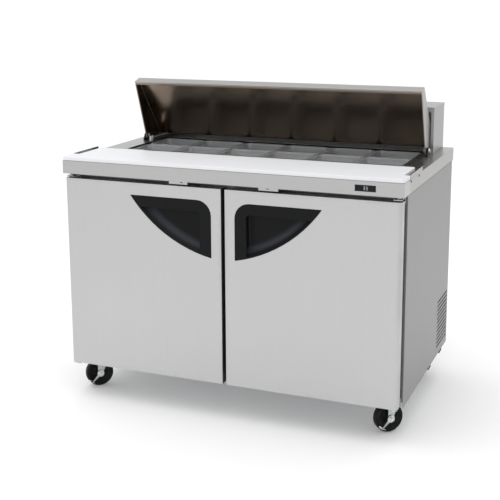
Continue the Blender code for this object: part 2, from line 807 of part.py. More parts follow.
def make_refrigeration():
    wall = UPPER_BACK
    low = SHELF_WALL + 0.035
    cover = box(
        "evaporator_cover",
        (-0.30, 0.30),
        (wall - 0.090, wall - GAP),
        (low, low + 0.235),
        "liner_metal",
    )
    centre = (0.16, wall - 0.075, low + 0.118)
    slots = []
    for row in range(5):
        slot_z = low + 0.04 + row * 0.03
        slots.append(((-0.26, -0.02), (wall - 0.12, wall - 0.08), (slot_z, slot_z + 0.012)))
    cut(
        cover,
        box("cover_hollow", (-0.297, 0.297), (wall - 0.087, wall + 0.05), (low + 0.003, low + 0.232)),
        turned("cover_fan_hole", centre, "Y", [(0.075, -0.05), (0.075, 0.005)], 24),
        boxes("cover_slots", slots),
    )
    fan("evaporator_fan", (centre[0], wall - 0.062, centre[2]), "Y", 0.022, 0.070, "black_plastic")
    comb(
        "evaporator_coil",
        (-0.28, 0.06),
        (wall - 0.060, wall - 0.004),
        (low + 0.020, low + 0.215),
        16,
        "aluminium_fins",
    )

    floor = DOOR_BOTTOM + 0.0058
    front = LOWER_BACK + 0.052
    rear = DEPTH - 0.009
    middle = (front + rear) / 2
    profile = [(0.040, 0), (0.066, 0.012), (0.070, 0.040), (0.070, 0.105), (0.060, 0.140), (0.030, 0.158)]
    turned("compressor", (0.22, middle, floor), "Z", profile, 24, "black_paint")
    tall = MACHINE_TOP - 0.005
    right = PANEL_X - 0.012
    comb(
        "condenser_coil",
        (right - 0.055, right),
        (front + 0.004, rear - 0.004),
        (floor + 0.001, tall - 0.004),
        6,
        "aluminium_fins",
    )
    fan_z = (floor + tall) / 2
    fan("condenser_fan", (right - 0.085, middle, fan_z), "X", 0.024, 0.078, "black_plastic")

    y = DEPTH - 0.005 + GAP
    gland = [(0.016, 0), (0.016, 0.0025), (0.011, 0.0025), (0.011, 0.0045), (0.0055, 0.0045), (0.0055, 0)]
    centre = (-PANEL_X + 0.10, y, DOOR_BOTTOM + 0.12)
    ring_solid("power_inlet_gland", centre, "Y", gland, 20, "black_plastic")


def caster_places():
    front_x = HALF_WIDTH - WHEEL_RADIUS - 0.0063
    rear_x = HALF_WIDTH - WHEEL_RADIUS - 0.037
    front_y = FRAME_Y + 0.064
    rear_y = DEPTH - WHEEL_RADIUS - 0.054
    return [(-front_x, front_y), (front_x, front_y), (-rear_x, rear_y), (rear_x, rear_y)]


def turn_about(obj, x, y, angle):
    """Bakes a turn about a vertical axis into the mesh."""
    cx, cy, _ = place(x, y, 0)
    c = math.cos(angle)
    s = math.sin(angle)
    for vertex in obj.data.vertices:
        dx = vertex.co.x - cx
        dy = vertex.co.y - cy
        vertex.co.x = cx + dx * c - dy * s
        vertex.co.y = cy + dx * s + dy * c


def make_casters():
    trail = CASTER_TRAIL
    half = WHEEL_WIDTH / 2
    top = DOOR_BOTTOM - 0.0018
    names = ("front_left", "front_right", "rear_left", "rear_right")
    r = WHEEL_RADIUS
    for (x, y), name in zip(caster_places(), names):
        axle = x - trail
        pieces = []
        wheel_profile = [
            (0.0054, -half), (0.014, -half), (0.016, 0.0065 - half), (r - 0.014, 0.0065 - half),
            (r - 0.012, 0.0025 - half), (r - 0.004, -half), (r, 0.0045 - half),
            (r, half - 0.0045), (r - 0.004, half), (r - 0.012, half - 0.0025),
            (r - 0.014, half - 0.0065), (0.016, half - 0.0065), (0.014, half), (0.0054, half),
        ]
        wheel = ring_solid(f"caster_{name}_wheel", (axle, y, r), "Y", wheel_profile, 24, "black_rubber")

        fork = box(
            f"caster_{name}_fork",
            (x - 0.026, x + 0.026),
            (y - half - 0.006, y + half + 0.006),
            (top - 0.009, top - 0.005),
            "zinc",
        )
        leg = [
            (x - 0.0255, top - 0.006), (x + 0.0255, top - 0.006), (x + 0.020, top - 0.014),
            (axle + 0.010, r + 0.002), (axle + 0.006, r - 0.008),
            (axle - 0.006, r - 0.008), (axle - 0.010, r + 0.002), (x - 0.022, top - 0.014),
        ]
        for sign in (-1, 1):
            near, far = sorted((y + sign * (half + 0.0025), y + sign * (half + 0.0053)))
            piece = prism(f"leg_{name}_{sign}", leg, "Y", near, far)
            unite(fork, piece)
            pieces.append(piece)
        stem = turned(f"stem_{name}", (x, y, 0), "Z", [(0.019, top - 0.0065), (0.019, top - 0.0002)], 16)
        braked = name.startswith("front")
        leg_face = half + 0.005
        nut = -leg_face - (0.0095 if braked else 0.0050)
        pin = [
            (0.0075, nut), (0.0075, nut + 0.005), (0.005, nut + 0.005),
            (0.005, leg_face), (0.0075, leg_face), (0.0075, leg_face + 0.005),
        ]
        axle_pin = turned(f"axle_{name}", (axle, y, r), "Y", pin, 12)
        unite(fork, stem, axle_pin)
        pieces += [stem, axle_pin, wheel, fork]

        if braked:
            back = -leg_face - 0.0007
            collar = [(0.0056, back - 0.0031), (0.0115, back - 0.0031), (0.0115, back), (0.0056, back)]
            lever = ring_solid(f"brake_lever_{name}", (axle, y, r), "Y", collar, 16, "zinc")
            arm = [
                (axle - 0.0080, r + 0.0010), (axle - 0.0300, r - 0.0260), (axle - 0.0420, r - 0.0215),
                (axle - 0.0435, r - 0.0250), (axle - 0.0290, r - 0.0305), (axle - 0.0020, r - 0.0085),
            ]
            arm_solid = prism(f"lever_arm_{name}", arm, "Y", y + back - 0.0028, y + back - 0.0004)
            unite(lever, arm_solid)
            pieces += [lever, arm_solid]
        for piece in pieces:
            turn_about(piece, x, y, CASTER_TURN)
        move_origin(fork, x, y, top)
        wheel_x = x - trail * math.cos(CASTER_TURN)
        wheel_y = y - trail * math.sin(CASTER_TURN)
        move_origin(wheel, wheel_x, wheel_y, r)
        if braked:
            move_origin(lever, wheel_x, wheel_y, r)


clear_scene()
PARTS = new_collection("sandwich_prep_table")
CUTTERS = new_collection("cutters", hidden=True)
make_materials()
make_cabinet()
make_top()
make_pans()
make_lid()
make_doors()
make_shelves()
make_refrigeration()
make_casters()
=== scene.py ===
import json
import math

import bpy
from mathutils import Matrix, Vector


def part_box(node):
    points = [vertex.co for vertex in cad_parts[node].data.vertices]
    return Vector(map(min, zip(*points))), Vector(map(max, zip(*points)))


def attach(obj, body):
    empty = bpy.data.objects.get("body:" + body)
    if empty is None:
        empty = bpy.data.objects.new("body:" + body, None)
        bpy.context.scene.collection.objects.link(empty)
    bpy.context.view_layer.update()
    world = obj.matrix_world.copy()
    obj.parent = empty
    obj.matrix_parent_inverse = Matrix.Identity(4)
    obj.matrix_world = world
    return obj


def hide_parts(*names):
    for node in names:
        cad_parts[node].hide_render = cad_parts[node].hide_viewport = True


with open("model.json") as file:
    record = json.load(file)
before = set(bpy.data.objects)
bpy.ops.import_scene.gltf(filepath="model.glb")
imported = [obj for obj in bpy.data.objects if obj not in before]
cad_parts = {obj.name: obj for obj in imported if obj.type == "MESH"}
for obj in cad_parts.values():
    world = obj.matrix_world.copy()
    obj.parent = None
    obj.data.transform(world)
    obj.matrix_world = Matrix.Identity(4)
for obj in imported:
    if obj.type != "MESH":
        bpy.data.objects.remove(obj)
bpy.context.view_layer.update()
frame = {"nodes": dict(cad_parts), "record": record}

scene = bpy.context.scene
nodes = frame["nodes"]
record = frame["record"]
bodyOf = {node: body for body, members in record["behaviour"]["bodies"].items() for node in members}
slotOf = {part["node"]: part["material_slot"] for part in record["subparts"]}
jointPlace = {joint["name"]: joint["pos_m"] for joint in record["behaviour"]["joints"] if "pos_m" in joint}

print("camera, floor and light")
camera = {
    "place": (1.3356, -3.4076, 1.4736),
    "yaw": 22.223,  # degrees to the left of straight ahead
    "pitch": 11.369,  # degrees below level
    "roll": -0.279,
    "lens": 73.445,
    "shift": (0.0, -0.12),
}
eye = bpy.data.objects.new("studioCamera", bpy.data.cameras.new("studioCamera"))
scene.collection.objects.link(eye)
eye.data.lens = camera["lens"]
eye.data.shift_x, eye.data.shift_y = camera["shift"]
turn = Matrix.Rotation(math.radians(camera["yaw"]), 4, "Z")
turn = turn @ Matrix.Rotation(math.radians(90 - camera["pitch"]), 4, "X")
turn = turn @ Matrix.Rotation(math.radians(camera["roll"]), 4, "Z")
eye.matrix_world = Matrix.Translation(camera["place"]) @ turn
scene.camera = eye
scene.view_settings.view_transform = "Standard"


class Wire:
    # a socket that can stand in a sum
    def __init__(self, finish, socket):
        self.finish = finish
        self.socket = socket

    def maths(self, operation, first, second=0.0):
        return self.finish.node("ShaderNodeMath", {"operation": operation}, {0: first, 1: second})

    def __add__(self, other):
        return self.maths("ADD", self, other)

    def __radd__(self, other):
        return self.maths("ADD", other, self)

    def __sub__(self, other):
        return self.maths("SUBTRACT", self, other)

    def __rsub__(self, other):
        return self.maths("SUBTRACT", other, self)

    def __mul__(self, other):
        return self.maths("MULTIPLY", self, other)

    def __rmul__(self, other):
        return self.maths("MULTIPLY", other, self)

    def __truediv__(self, other):
        return self.maths("DIVIDE", self, other)

    def __pow__(self, other):
        return self.maths("POWER", self, other)

    def least(self, other):
        return self.maths("MINIMUM", self, other)

    def held(self):
        # kept between nought and one
        return self.finish.node("ShaderNodeClamp", {}, {0: self})


class Finish:
    # one material and the nodes in it
    socketOf = {
        "colour": "Base Color", "metal": "Metallic", "roughness": "Roughness", "normal": "Normal",
        "clear": "Transmission Weight", "bend": "IOR", "shine": "Specular IOR Level", "edge": "Specular Tint",
        "glow": "Emission Color", "glowStrength": "Emission Strength",
    }

    def __init__(self, name):
        self.material = bpy.data.materials.new(name)
        self.material.use_nodes = True
        self.tree = self.material.node_tree
        self.shader = self.tree.nodes["Principled BSDF"]

    def node(self, kind, settings=None, sockets=None, output=0):
        made = self.tree.nodes.new(kind)
        for name, value in (settings or {}).items():
            if name == "stops":
                stops = made.color_ramp.elements
                stops[0].position, stops[-1].position = value[0][0], value[-1][0]
                for place, _ in value[1:-1]:
                    stops.new(place)
                for stop, (_, level) in zip(stops, value):
                    stop.color = (level, level, level, 1)
            else:
                setattr(made, name, value)
        for name, value in (sockets or {}).items():
            if isinstance(value, Wire):
                self.tree.links.new(value.socket, made.inputs[name])
            else:
                made.inputs[name].default_value = value
        return Wire(self, made.outputs[output])

    def place(self):
        return self.node("ShaderNodeTexCoord", output="Object")

    def along(self, axis):
        # one coordinate of the piece, in metres
        return self.node("ShaderNodeSeparateXYZ", {}, {0: self.place()}, output=axis)

    def noise(self, stretch, detail=3.0, roughness=0.55, shift=(0, 0, 0)):
        laid = {"Vector": self.place(), "Scale": stretch, "Location": shift}
        spot = self.node("ShaderNodeMapping", {}, laid)
        grain = {"Vector": spot, "Scale": 1.0, "Detail": detail, "Roughness": roughness}
        return self.node("ShaderNodeTexNoise", {}, grain)

    def ramp(self, value, *stops):
        return self.node("ShaderNodeValToRGB", {"stops": stops}, {0: value})

    def blend(self, factor, first, second):
        # the three sockets are the colour version's factor, A and B
        return self.node("ShaderNodeMix", {"data_type": "RGBA"}, {0: factor, 6: first, 7: second}, output=2)

    def bump(self, height, strength, distance, under=None):
        # a second bump lies under this one where one is given
        values = {"Height": height, "Strength": strength, "Distance": distance}
        if under:
            values["Normal"] = under
        return self.node("ShaderNodeBump", {}, values)

    def wear(self, box, axes, reach):
        # one at the edges of a flat piece, falling to nought within the reach
        low, high = box
        nearest = None
        for axis in axes:
            step = self.along(axis)
            gap = (step - low["XYZ".index(axis)]).least(high["XYZ".index(axis)] - step)
            nearest = nearest.least(gap) if nearest else gap
        return (1 - nearest / reach).held()

    def surface(self, **values):
        for name, value in values.items():
            socket = self.shader.inputs[self.socketOf[name]]
            if isinstance(value, Wire):
                self.tree.links.new(value.socket, socket)
            else:
                socket.default_value = value
        return self.material


def tint(colour, level=1.0):
    return (colour[0] * level, colour[1] * level, colour[2] * level, 1)


def grey(level):
    return (level, level, level, 1)


world = bpy.data.worlds.new("studio")
scene.world = world
world.use_nodes = True
studio = {"front": 1.0, "right": 0.66, "from": 0.2, "to": 0.7, "strength": 1.06}
sky = world.node_tree
spot = sky.nodes.new("ShaderNodeTexCoord")
parts = sky.nodes.new("ShaderNodeSeparateXYZ")
sky.links.new(spot.outputs["Generated"], parts.inputs[0])
side = sky.nodes.new("ShaderNodeMapRange")
side.inputs["From Min"].default_value = studio["from"]
side.inputs["From Max"].default_value = studio["to"]
side.inputs["To Min"].default_value = studio["front"]
side.inputs["To Max"].default_value = studio["right"]
sky.links.new(parts.outputs["X"], side.inputs["Value"])
sky.links.new(side.outputs[0], sky.nodes["Background"].inputs["Color"])
sky.nodes["Background"].inputs["Strength"].default_value = studio["strength"]

lamps = [
    {"name": "overhead", "place": (-0.5, -0.9, 3.6), "aim": (0, 0, 0.7), "size": (3.4, 2.6), "power": 26},
    {"name": "rear", "place": (1.6, 3.0, 2.8), "aim": (0, 0.2, 0.7), "size": (2.4, 1.6), "power": 10},
]
for lamp in lamps:
    light = bpy.data.lights.new(lamp["name"], "AREA")
    light.shape = "RECTANGLE"
    light.size, light.size_y = lamp["size"]
    light.energy = lamp["power"]
    holder = bpy.data.objects.new(lamp["name"], light)
    scene.collection.objects.link(holder)
    holder.location = lamp["place"]
    beam = Vector(lamp["aim"]) - Vector(lamp["place"])
    holder.rotation_euler = beam.to_track_quat("-Z", "Y").to_euler()


def calm():
    if bpy.context.mode != "OBJECT":
        bpy.ops.object.mode_set(mode="OBJECT")
    bpy.ops.object.select_all(action="DESELECT")


def hold(piece):
    calm()
    piece.select_set(True)
    bpy.context.view_layer.objects.active = piece
    return piece


def edit(piece, everything=True):
    hold(piece)
    bpy.ops.object.mode_set(mode="EDIT")
    bpy.ops.mesh.select_mode(type="VERT")
    bpy.ops.mesh.select_all(action="SELECT" if everything else "DESELECT")


calm()
bpy.ops.mesh.primitive_grid_add(x_subdivisions=8, y_subdivisions=8, size=400, location=(0, 0, -0.0004))
floor = bpy.context.object
floor.name = "studioFloor"
paper = Finish("palePaper")
mottle = paper.noise((3, 3, 3), detail=2)
pale = paper.blend(mottle, grey(0.93), grey(0.95))
paper.surface(colour=pale, roughness=0.85, shine=0.1, glow=grey(1), glowStrength=0.10)
floor.data.materials.append(paper.material)

print("finishes")


def brushedSteel(name, tone, grain, roughness=0.36, box=None, axes="XZ", edge=1.0):
    # grain is the axis that the brushing runs along, and box and axes say where handling has dulled the rim
    streak = 0.022
    dent = 0.25
    steel = Finish(name)
    stretch = [1500.0, 1500.0, 1500.0]
    stretch["XYZ".index(grain)] = 5.0
    fine = steel.noise(stretch, detail=2)
    stretch = [170.0, 170.0, 170.0]
    stretch["XYZ".index(grain)] = 1.3
    broad = steel.noise(stretch, detail=4, roughness=0.6)
    cloud = steel.noise((2.3, 2.3, 2.3), detail=2)
    smear = steel.noise((7, 7, 5), detail=4, roughness=0.65, shift=(4, 1, 2))
    rough = roughness + (fine - 0.5) * 0.16 + (broad - 0.5) * 0.05 + (smear - 0.5) * 0.07
    shade = ((broad - 0.5) * 1.2 + (cloud - 0.5) * 0.7 + 0.5).held()
    colour = steel.blend(shade, tint(tone, 1 - streak), tint(tone, 1 + streak))
    if box:
        wearAndSheen = steel.wear(box, axes, 0.016) * steel.ramp(smear, (0.42, 0), (0.62, 1))
        colour = steel.blend(wearAndSheen * 0.35, colour, tint(tone, 0.80))
        rough = rough + wearAndSheen * 0.10
    height = fine * 0.5 + broad * 0.5
    normal = steel.bump(cloud, dent, 0.004, steel.bump(height, 0.12, 0.0004))
    return steel.surface(colour=colour, metal=1.0, roughness=rough, edge=grey(edge), normal=normal)


# painted light and shade: one stainless steel is given a different tone and edge tint on each part, set to
# how brightly that part is lit, so the side panels, front frame, hood and lid are darker than the doors
doorTone = (0.528, 0.527, 0.528)
steels = {
    "door_left_panel": brushedSteel("doorSteelLeft", doorTone, "Z", box=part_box("door_left_panel")),
    "door_right_panel": brushedSteel("doorSteelRight", doorTone, "Z", box=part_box("door_right_panel")),
    "side_panel_right": brushedSteel(
        "sideSteelRight", (0.372, 0.371, 0.370), "Z", 0.44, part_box("side_panel_right"), "YZ", 0.8),
    "side_panel_left": brushedSteel(
        "sideSteelLeft", (0.355, 0.354, 0.353), "Z", 0.44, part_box("side_panel_left"), "YZ", 0.8),
    "front_rail": brushedSteel("railSteel", (0.465, 0.464, 0.462), "X", 0.34),
    "worktop": brushedSteel("worktopSteel", (0.485, 0.483, 0.477), "X", 0.28, edge=0.78),
    "front_frame": brushedSteel("frameSteel", (0.38, 0.38, 0.38), "Z", 0.40, edge=0.6),
    "rear_hood": brushedSteel("hoodSteel", (0.42, 0.42, 0.415), "X", 0.34, edge=0.85),
    "lid_shell": brushedSteel("lidSteel", (0.38, 0.375, 0.365), "X", 0.32),
}


def mirrorSteel():
    steel = Finish("lidMirror")
    broad = steel.noise((1.5, 120, 120), detail=3)
    cloud = steel.noise((3.0, 3.0, 3.0), detail=2)
    smear = steel.noise((9, 6, 6), detail=5, roughness=0.7)
    rough = 0.21 + (broad - 0.5) * 0.08 + (smear - 0.5) * 0.08
    # painted reflection: the brown tint, lighter and darker in soft clouds, stands in for the pans' contents
    # seen in the lid
    colour = steel.blend(cloud, tint((0.225, 0.175, 0.135)), tint((0.30, 0.245, 0.20)))
    normal = steel.bump(cloud, 0.35, 0.006, steel.bump(broad, 0.08, 0.0004))
    return steel.surface(colour=colour, metal=1.0, roughness=rough, edge=(0.55, 0.52, 0.50, 1), normal=normal)


def boardPlastic():
    plastic = Finish("boardPlastic")
    pebble = plastic.noise((420, 420, 420), detail=2)
    cloud = plastic.noise((5, 5, 5), detail=3)
    scratch = plastic.noise((26, 700, 60), detail=3, roughness=0.7)
    cross = plastic.noise((600, 40, 60), detail=3, roughness=0.7, shift=(2, 5, 0))
    cuts = plastic.ramp(scratch, (0.60, 0), (0.70, 1)) + plastic.ramp(cross, (0.64, 0), (0.72, 1))
    cuts = cuts.held() * plastic.ramp(cloud, (0.40, 0.15), (0.65, 1))
    colour = plastic.blend(cloud, tint((0.735, 0.74, 0.765)), tint((0.765, 0.77, 0.79)))
    colour = plastic.blend(cuts * 0.22, colour, tint((0.70, 0.71, 0.71)))
    rough = 0.46 + (pebble - 0.5) * 0.2 + cuts * 0.12
    normal = plastic.bump(pebble * 0.7 - cuts * 0.5, 0.22, 0.0004)
    return plastic.surface(colour=colour, roughness=rough, normal=normal)


def clearPlastic():
    plastic = Finish("clearPlastic")
    cloud = plastic.noise((40, 40, 40), detail=3)
    scuff = plastic.noise((300, 300, 24), detail=3, roughness=0.7)
    marks = plastic.ramp(scuff, (0.55, 0), (0.75, 1))
    rough = 0.05 + cloud * 0.05 + marks * 0.12
    colour = plastic.blend(cloud, tint((0.88, 0.90, 0.91)), tint((0.95, 0.96, 0.97)))
    normal = plastic.bump(scuff, 0.05, 0.0003)
    return plastic.surface(colour=colour, roughness=rough, clear=0.72, bend=1.50, shine=0.8, normal=normal)


handleTone = (0.0075, 0.0078, 0.0085)


def blackPlastic(name, tone=handleTone, roughness=0.38, shine=0.10, pocket=None):
    plastic = Finish(name)
    grain = plastic.noise((900, 900, 900), detail=2)
    cloud = plastic.noise((12, 12, 12), detail=3)
    smear = plastic.noise((45, 45, 30), detail=4, roughness=0.7)
    rough = roughness + (grain - 0.5) * 0.16 + (smear - 0.5) * 0.14
    colour = plastic.blend(cloud, tint(tone, 0.85), tint(tone, 1.2))
    if pocket:
        # painted highlight: paler and a little smoother along the curved wall of the handle's pocket, where
        # it would catch the light
        side, front = pocket
        across = plastic.along("X") * side - grip["arcX"]
        above = plastic.along("Z") - grip["arcZ"]
        away = (across * across + above * above) ** 0.5
        wearAndSheen = ((0.040, 0), (0.024, 1), (0.018, 1), (0.010, 0))  # how far inside the curve, and how strong the painted highlight is
        highlightBand = plastic.ramp(away, *[(grip["arc"] - inset, level) for inset, level in wearAndSheen])
        inside = plastic.ramp(plastic.along("Y") - front, (0.0035, 0), (0.0100, 1))
        paintedHighlight = highlightBand * inside * (0.75 + smear * 0.5)
        colour = plastic.blend(paintedHighlight.held(), colour, tint((0.036, 0.038, 0.046)))
        rough = rough - paintedHighlight * 0.08
    normal = plastic.bump(grain, 0.20, 0.0003)
    return plastic.surface(colour=colour, roughness=rough, shine=shine, normal=normal)


def rubber(name, tone, roughness=0.62, dust=0.35, shine=0.3):
    soft = Finish(name)
    grain = soft.noise((500, 500, 500), detail=2)
    film = soft.noise((30, 30, 30), detail=5, roughness=0.7)
    dusty = soft.ramp(film, (0.48, 0), (0.70, 1))
    colour = soft.blend(dusty * dust, tint(tone), tint((0.16, 0.155, 0.15)))
    rough = roughness + dusty * 0.2
    return soft.surface(colour=colour, shine=shine, roughness=rough, normal=soft.bump(grain, 0.25, 0.0003))


def platedMetal(name, tone, roughness, grain=260.0, contrast=0.10, tarnish=(0.35, 0.34, 0.32)):
    metal = Finish(name)
    fine = metal.noise((grain, grain, grain), detail=3)
    cloud = metal.noise((28, 28, 28), detail=4, roughness=0.6)
    dull = metal.ramp(cloud, (0.50, 0), (0.72, 1))
    rough = roughness + (fine - 0.5) * contrast + dull * 0.14
    colour = metal.blend(dull * 0.45, tint(tone), tint(tarnish))
    normal = metal.bump(fine, 0.15, 0.0003)
    return metal.surface(colour=colour, metal=1.0, roughness=rough, edge=grey(0.75), normal=normal)


def galvanised():
    metal = Finish("galvanisedSheet")
    scale = metal.node("ShaderNodeMapping", {}, {"Vector": metal.place(), "Scale": (60, 60, 60)})
    cells = {"Vector": scale, "Scale": 1.0}
    spangle = metal.node("ShaderNodeTexVoronoi", {"feature": "F1"}, cells, output="Color")
    flake = metal.node("ShaderNodeSeparateXYZ", {}, {0: spangle})
    cloud = metal.noise((5, 5, 5), detail=3)
    colour = metal.blend(flake * 0.7 + cloud * 0.3, tint((0.40, 0.41, 0.42)), tint((0.56, 0.57, 0.58)))
    rough = 0.42 + flake * 0.18
    return metal.surface(colour=colour, metal=1.0, roughness=rough, normal=metal.bump(cloud, 0.2, 0.002))


def liningSheet(name, box=None):
    # a door's lining, which gives its box, has a dark rim where it turns into the door
    metal = Finish(name)
    pebble = metal.noise((210, 210, 210), detail=2)
    cloud = metal.noise((4, 4, 4), detail=3)
    colour = metal.blend(cloud, tint((0.66, 0.67, 0.68)), tint((0.74, 0.75, 0.76)))
    rough = 0.40 + (pebble - 0.5) * 0.2
    shiny = 0.75
    if box:
        rim = metal.ramp(metal.wear(box, "XZ", 0.004), (0.30, 0), (0.45, 1))
        colour = metal.blend(rim, colour, grey(0.008))
        rough = rough + rim * 0.2
        shiny = shiny - rim * shiny
    else:
        rough = rough + (cloud - 0.5) * 0.1
    normal = metal.bump(pebble, 0.25, 0.0006)
    return metal.surface(colour=colour, metal=shiny, roughness=rough, normal=normal)


def paintedBlack():
    paint = Finish("blackPaint")
    peel = paint.noise((160, 160, 160), detail=2)
    dust = paint.noise((20, 20, 20), detail=5, roughness=0.7)
    dusty = paint.ramp(dust, (0.5, 0), (0.75, 1))
    colour = paint.blend(dusty * 0.4, tint((0.022, 0.022, 0.024)), grey(0.10))
    return paint.surface(colour=colour, roughness=0.36 + dusty * 0.25, normal=paint.bump(peel, 0.18, 0.0004))


def coatedWire():
    paint = Finish("coatedWire")
    peel = paint.noise((300, 300, 300), detail=2)
    cloud = paint.noise((25, 25, 25), detail=3)
    colour = paint.blend(cloud, tint((0.72, 0.73, 0.73)), tint((0.80, 0.81, 0.81)))
    rough = 0.34 + (peel - 0.5) * 0.15
    return paint.surface(colour=colour, roughness=rough, normal=paint.bump(peel, 0.2, 0.0003))


def smokedWindow():
    glass = Finish("smokedWindow")
    smear = glass.noise((60, 60, 60), detail=4, roughness=0.7)
    colour = glass.blend(smear, tint((0.008, 0.008, 0.010)), tint((0.016, 0.016, 0.018)))
    return glass.surface(colour=colour, roughness=0.16 + smear * 0.12, shine=0.12)


def litDigit():
    lamp = Finish("litDigit")
    flicker = lamp.noise((900, 900, 900), detail=1)
    colour = lamp.blend(flicker, tint((0.42, 0.50, 0.50)), tint((0.58, 0.64, 0.64)))
    return lamp.surface(colour=colour, roughness=0.4, glow=colour, glowStrength=0.30)


mirror = mirrorSteel()
boardWhite = boardPlastic()
clearPan = clearPlastic()
handleBlack = blackPlastic("handlePlastic")
wellBlack = blackPlastic("wellPlastic", (0.030, 0.030, 0.031), 0.5, 0.4)
gasketRubber = rubber("gasketRubber", (0.016, 0.016, 0.017), 0.6)
tyreRubber = rubber("tyreRubber", (0.005, 0.005, 0.005), 0.42, 0.08, 0.14)
hubPlastic = blackPlastic("hubPlastic", (0.006, 0.006, 0.006), 0.34, 0.16)
zinc = platedMetal("zincPlate", (0.47, 0.50, 0.50), 0.24)
chrome = platedMetal("pinChrome", (0.78, 0.79, 0.80), 0.14, contrast=0.06)
darkSteel = platedMetal("darkScrewSteel", (0.16, 0.16, 0.165), 0.34, tarnish=(0.08, 0.075, 0.07))
finMetal = platedMetal("finAluminium", (0.72, 0.73, 0.74), 0.42, grain=500.0)
sheetZinc = galvanised()
liner = liningSheet("linerSheet")
blackPaint = paintedBlack()
wireCoat = coatedWire()
window = smokedWindow()
digitLight = litDigit()

finishOf = {
    "mirror_steel": mirror, "board_white": boardWhite, "clear_plastic": clearPan,
    "black_plastic": handleBlack, "grey_gasket": gasketRubber, "black_rubber": tyreRubber,
    "zinc": zinc, "galvanised": sheetZinc, "liner_metal": liner, "aluminium_fins": finMetal,
    "black_paint": blackPaint, "epoxy_wire": wireCoat, "display_black": window,
}
for node, item in nodes.items():
    item.data.materials.clear()
    item.data.materials.append(steels.get(node) or finishOf[slotOf[node]])
for name in ("left", "right"):
    node = "door_" + name + "_liner"
    nodes[node].data.materials[0] = liningSheet("doorLining" + name.capitalize(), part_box(node))


def rounded(piece, width, segments=2, angle=30, smooth=50):
    # rounds the sharp edges and evens the shading
    hold(piece)
    edge = piece.modifiers.new("edge", "BEVEL")
    edge.width = width
    edge.segments = segments
    edge.limit_method = "ANGLE"
    edge.angle_limit = math.radians(angle)
    bpy.ops.object.modifier_apply(modifier="edge")
    bpy.ops.object.shade_smooth_by_angle(angle=math.radians(smooth))
    even = piece.modifiers.new("even", "WEIGHTED_NORMAL")
    even.keep_sharp = True
    bpy.ops.object.modifier_apply(modifier="even")
    return piece


def fit(piece, name, body, material, stands=()):
    # the place goes into the mesh, and the piece moves with its body
    hold(piece)
    bpy.ops.object.transform_apply(location=True, rotation=True, scale=True)
    piece.name = name
    piece.data.name = name
    piece.data.materials.clear()
    piece.data.materials.append(material)
    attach(piece, body)
    if stands:
        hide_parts(*stands)
    return piece


def copied(node):
    # a copy of a CAD piece's mesh, its loose triangles merged
    piece = bpy.data.objects.new(node + "_fine", nodes[node].data.copy())
    scene.collection.objects.link(piece)
    edit(piece)
    bpy.ops.mesh.remove_doubles(threshold=0.00002)
    bpy.ops.mesh.dissolve_limited(angle_limit=math.radians(0.6))
    calm()
    return piece


def refined(node, width, segments=2):
    # the CAD piece's own shape with its edges rounded, in its place
    piece = copied(node)
    rounded(piece, width, segments)
    return fit(piece, node + "_fine", bodyOf[node], nodes[node].data.materials[0], [node])


def block(low, high, width=0.0, segments=2):
    # a box between two corners, its edges rounded
    calm()
    bpy.ops.mesh.primitive_cube_add(size=1, location=[(a + b) / 2 for a, b in zip(low, high)])
    piece = bpy.context.object
    piece.scale = [b - a for a, b in zip(low, high)]
    bpy.ops.object.transform_apply(location=True, rotation=True, scale=True)
    return rounded(piece, width, segments) if width else piece


def pick(piece, kind, test):
    # leaves the elements that pass the test selected, in edit mode
    edit(piece, False)
    bpy.ops.mesh.select_mode(type=kind)
    bpy.ops.object.mode_set(mode="OBJECT")
    mesh = piece.data
    if kind == "VERT":
        for vertex in mesh.vertices:
            vertex.select = bool(test(vertex.co))
    elif kind == "EDGE":
        for edge in mesh.edges:
            ends = [mesh.vertices[i].co for i in edge.vertices]
            edge.select = bool(test(ends[0], ends[1]))
    else:
        for face in mesh.polygons:
            face.select = bool(test(face.center, face.normal))
    bpy.ops.object.mode_set(mode="EDIT")


def drawn(points):
    # a bare line through the points
    calm()
    bpy.ops.mesh.primitive_plane_add(size=0.001, location=points[0])
    piece = bpy.context.object
    bpy.ops.object.transform_apply(location=True, rotation=True, scale=True)
    edit(piece)
    bpy.ops.mesh.merge(type="CENTER")
    for start, end in zip(points, points[1:]):
        step = [b - a for a, b in zip(start, end)]
        bpy.ops.mesh.extrude_vertices_move(TRANSFORM_OT_translate={"value": step})
    bpy.ops.mesh.select_all(action="SELECT")
    return piece


def aimed(centre, direction):
    # stands a piece that was made along Z on a point, facing a direction
    return Matrix.Translation(centre) @ Vector(direction).to_track_quat("Z", "Y").to_matrix().to_4x4()


def lathe(profile, centre=(0, 0, 0), direction=(0, 0, 1), steps=32, smooth=35):
    # (radius, height) pairs turned round a line through the centre
    piece = drawn([(radius, 0, height) for radius, height in profile])
    bpy.ops.mesh.spin(steps=steps, angle=math.tau, center=(0, 0, 0), axis=(0, 0, 1))
    bpy.ops.mesh.select_all(action="SELECT")
    bpy.ops.mesh.remove_doubles(threshold=0.00001)
    bpy.ops.mesh.normals_make_consistent(inside=False)
    hold(piece)
    bpy.ops.object.shade_smooth_by_angle(angle=math.radians(smooth))
    piece.matrix_world = aimed(centre, direction)
    bpy.ops.object.transform_apply(location=True, rotation=True, scale=True)
    return piece


def tube(points, radius, corner=0.0, closed=False, sides=2):
    # a round bar bent along the points
    piece = drawn(list(points) + [points[0]] if closed else list(points))
    bpy.ops.mesh.remove_doubles(threshold=0.00001)
    if corner:
        bpy.ops.mesh.bevel(offset=corner, segments=4, affect="VERTICES")
    hold(piece)
    bpy.ops.object.convert(target="CURVE")
    line = bpy.context.object
    line.data.bevel_depth = radius
    line.data.bevel_resolution = sides
    line.data.use_fill_caps = True
    bpy.ops.object.convert(target="MESH")
    piece = bpy.context.object
    edit(piece)
    bpy.ops.mesh.remove_doubles(threshold=0.00001)
    bpy.ops.mesh.normals_make_consistent(inside=False)
    hold(piece)
    bpy.ops.object.shade_smooth_by_angle(angle=math.radians(50))
    return piece


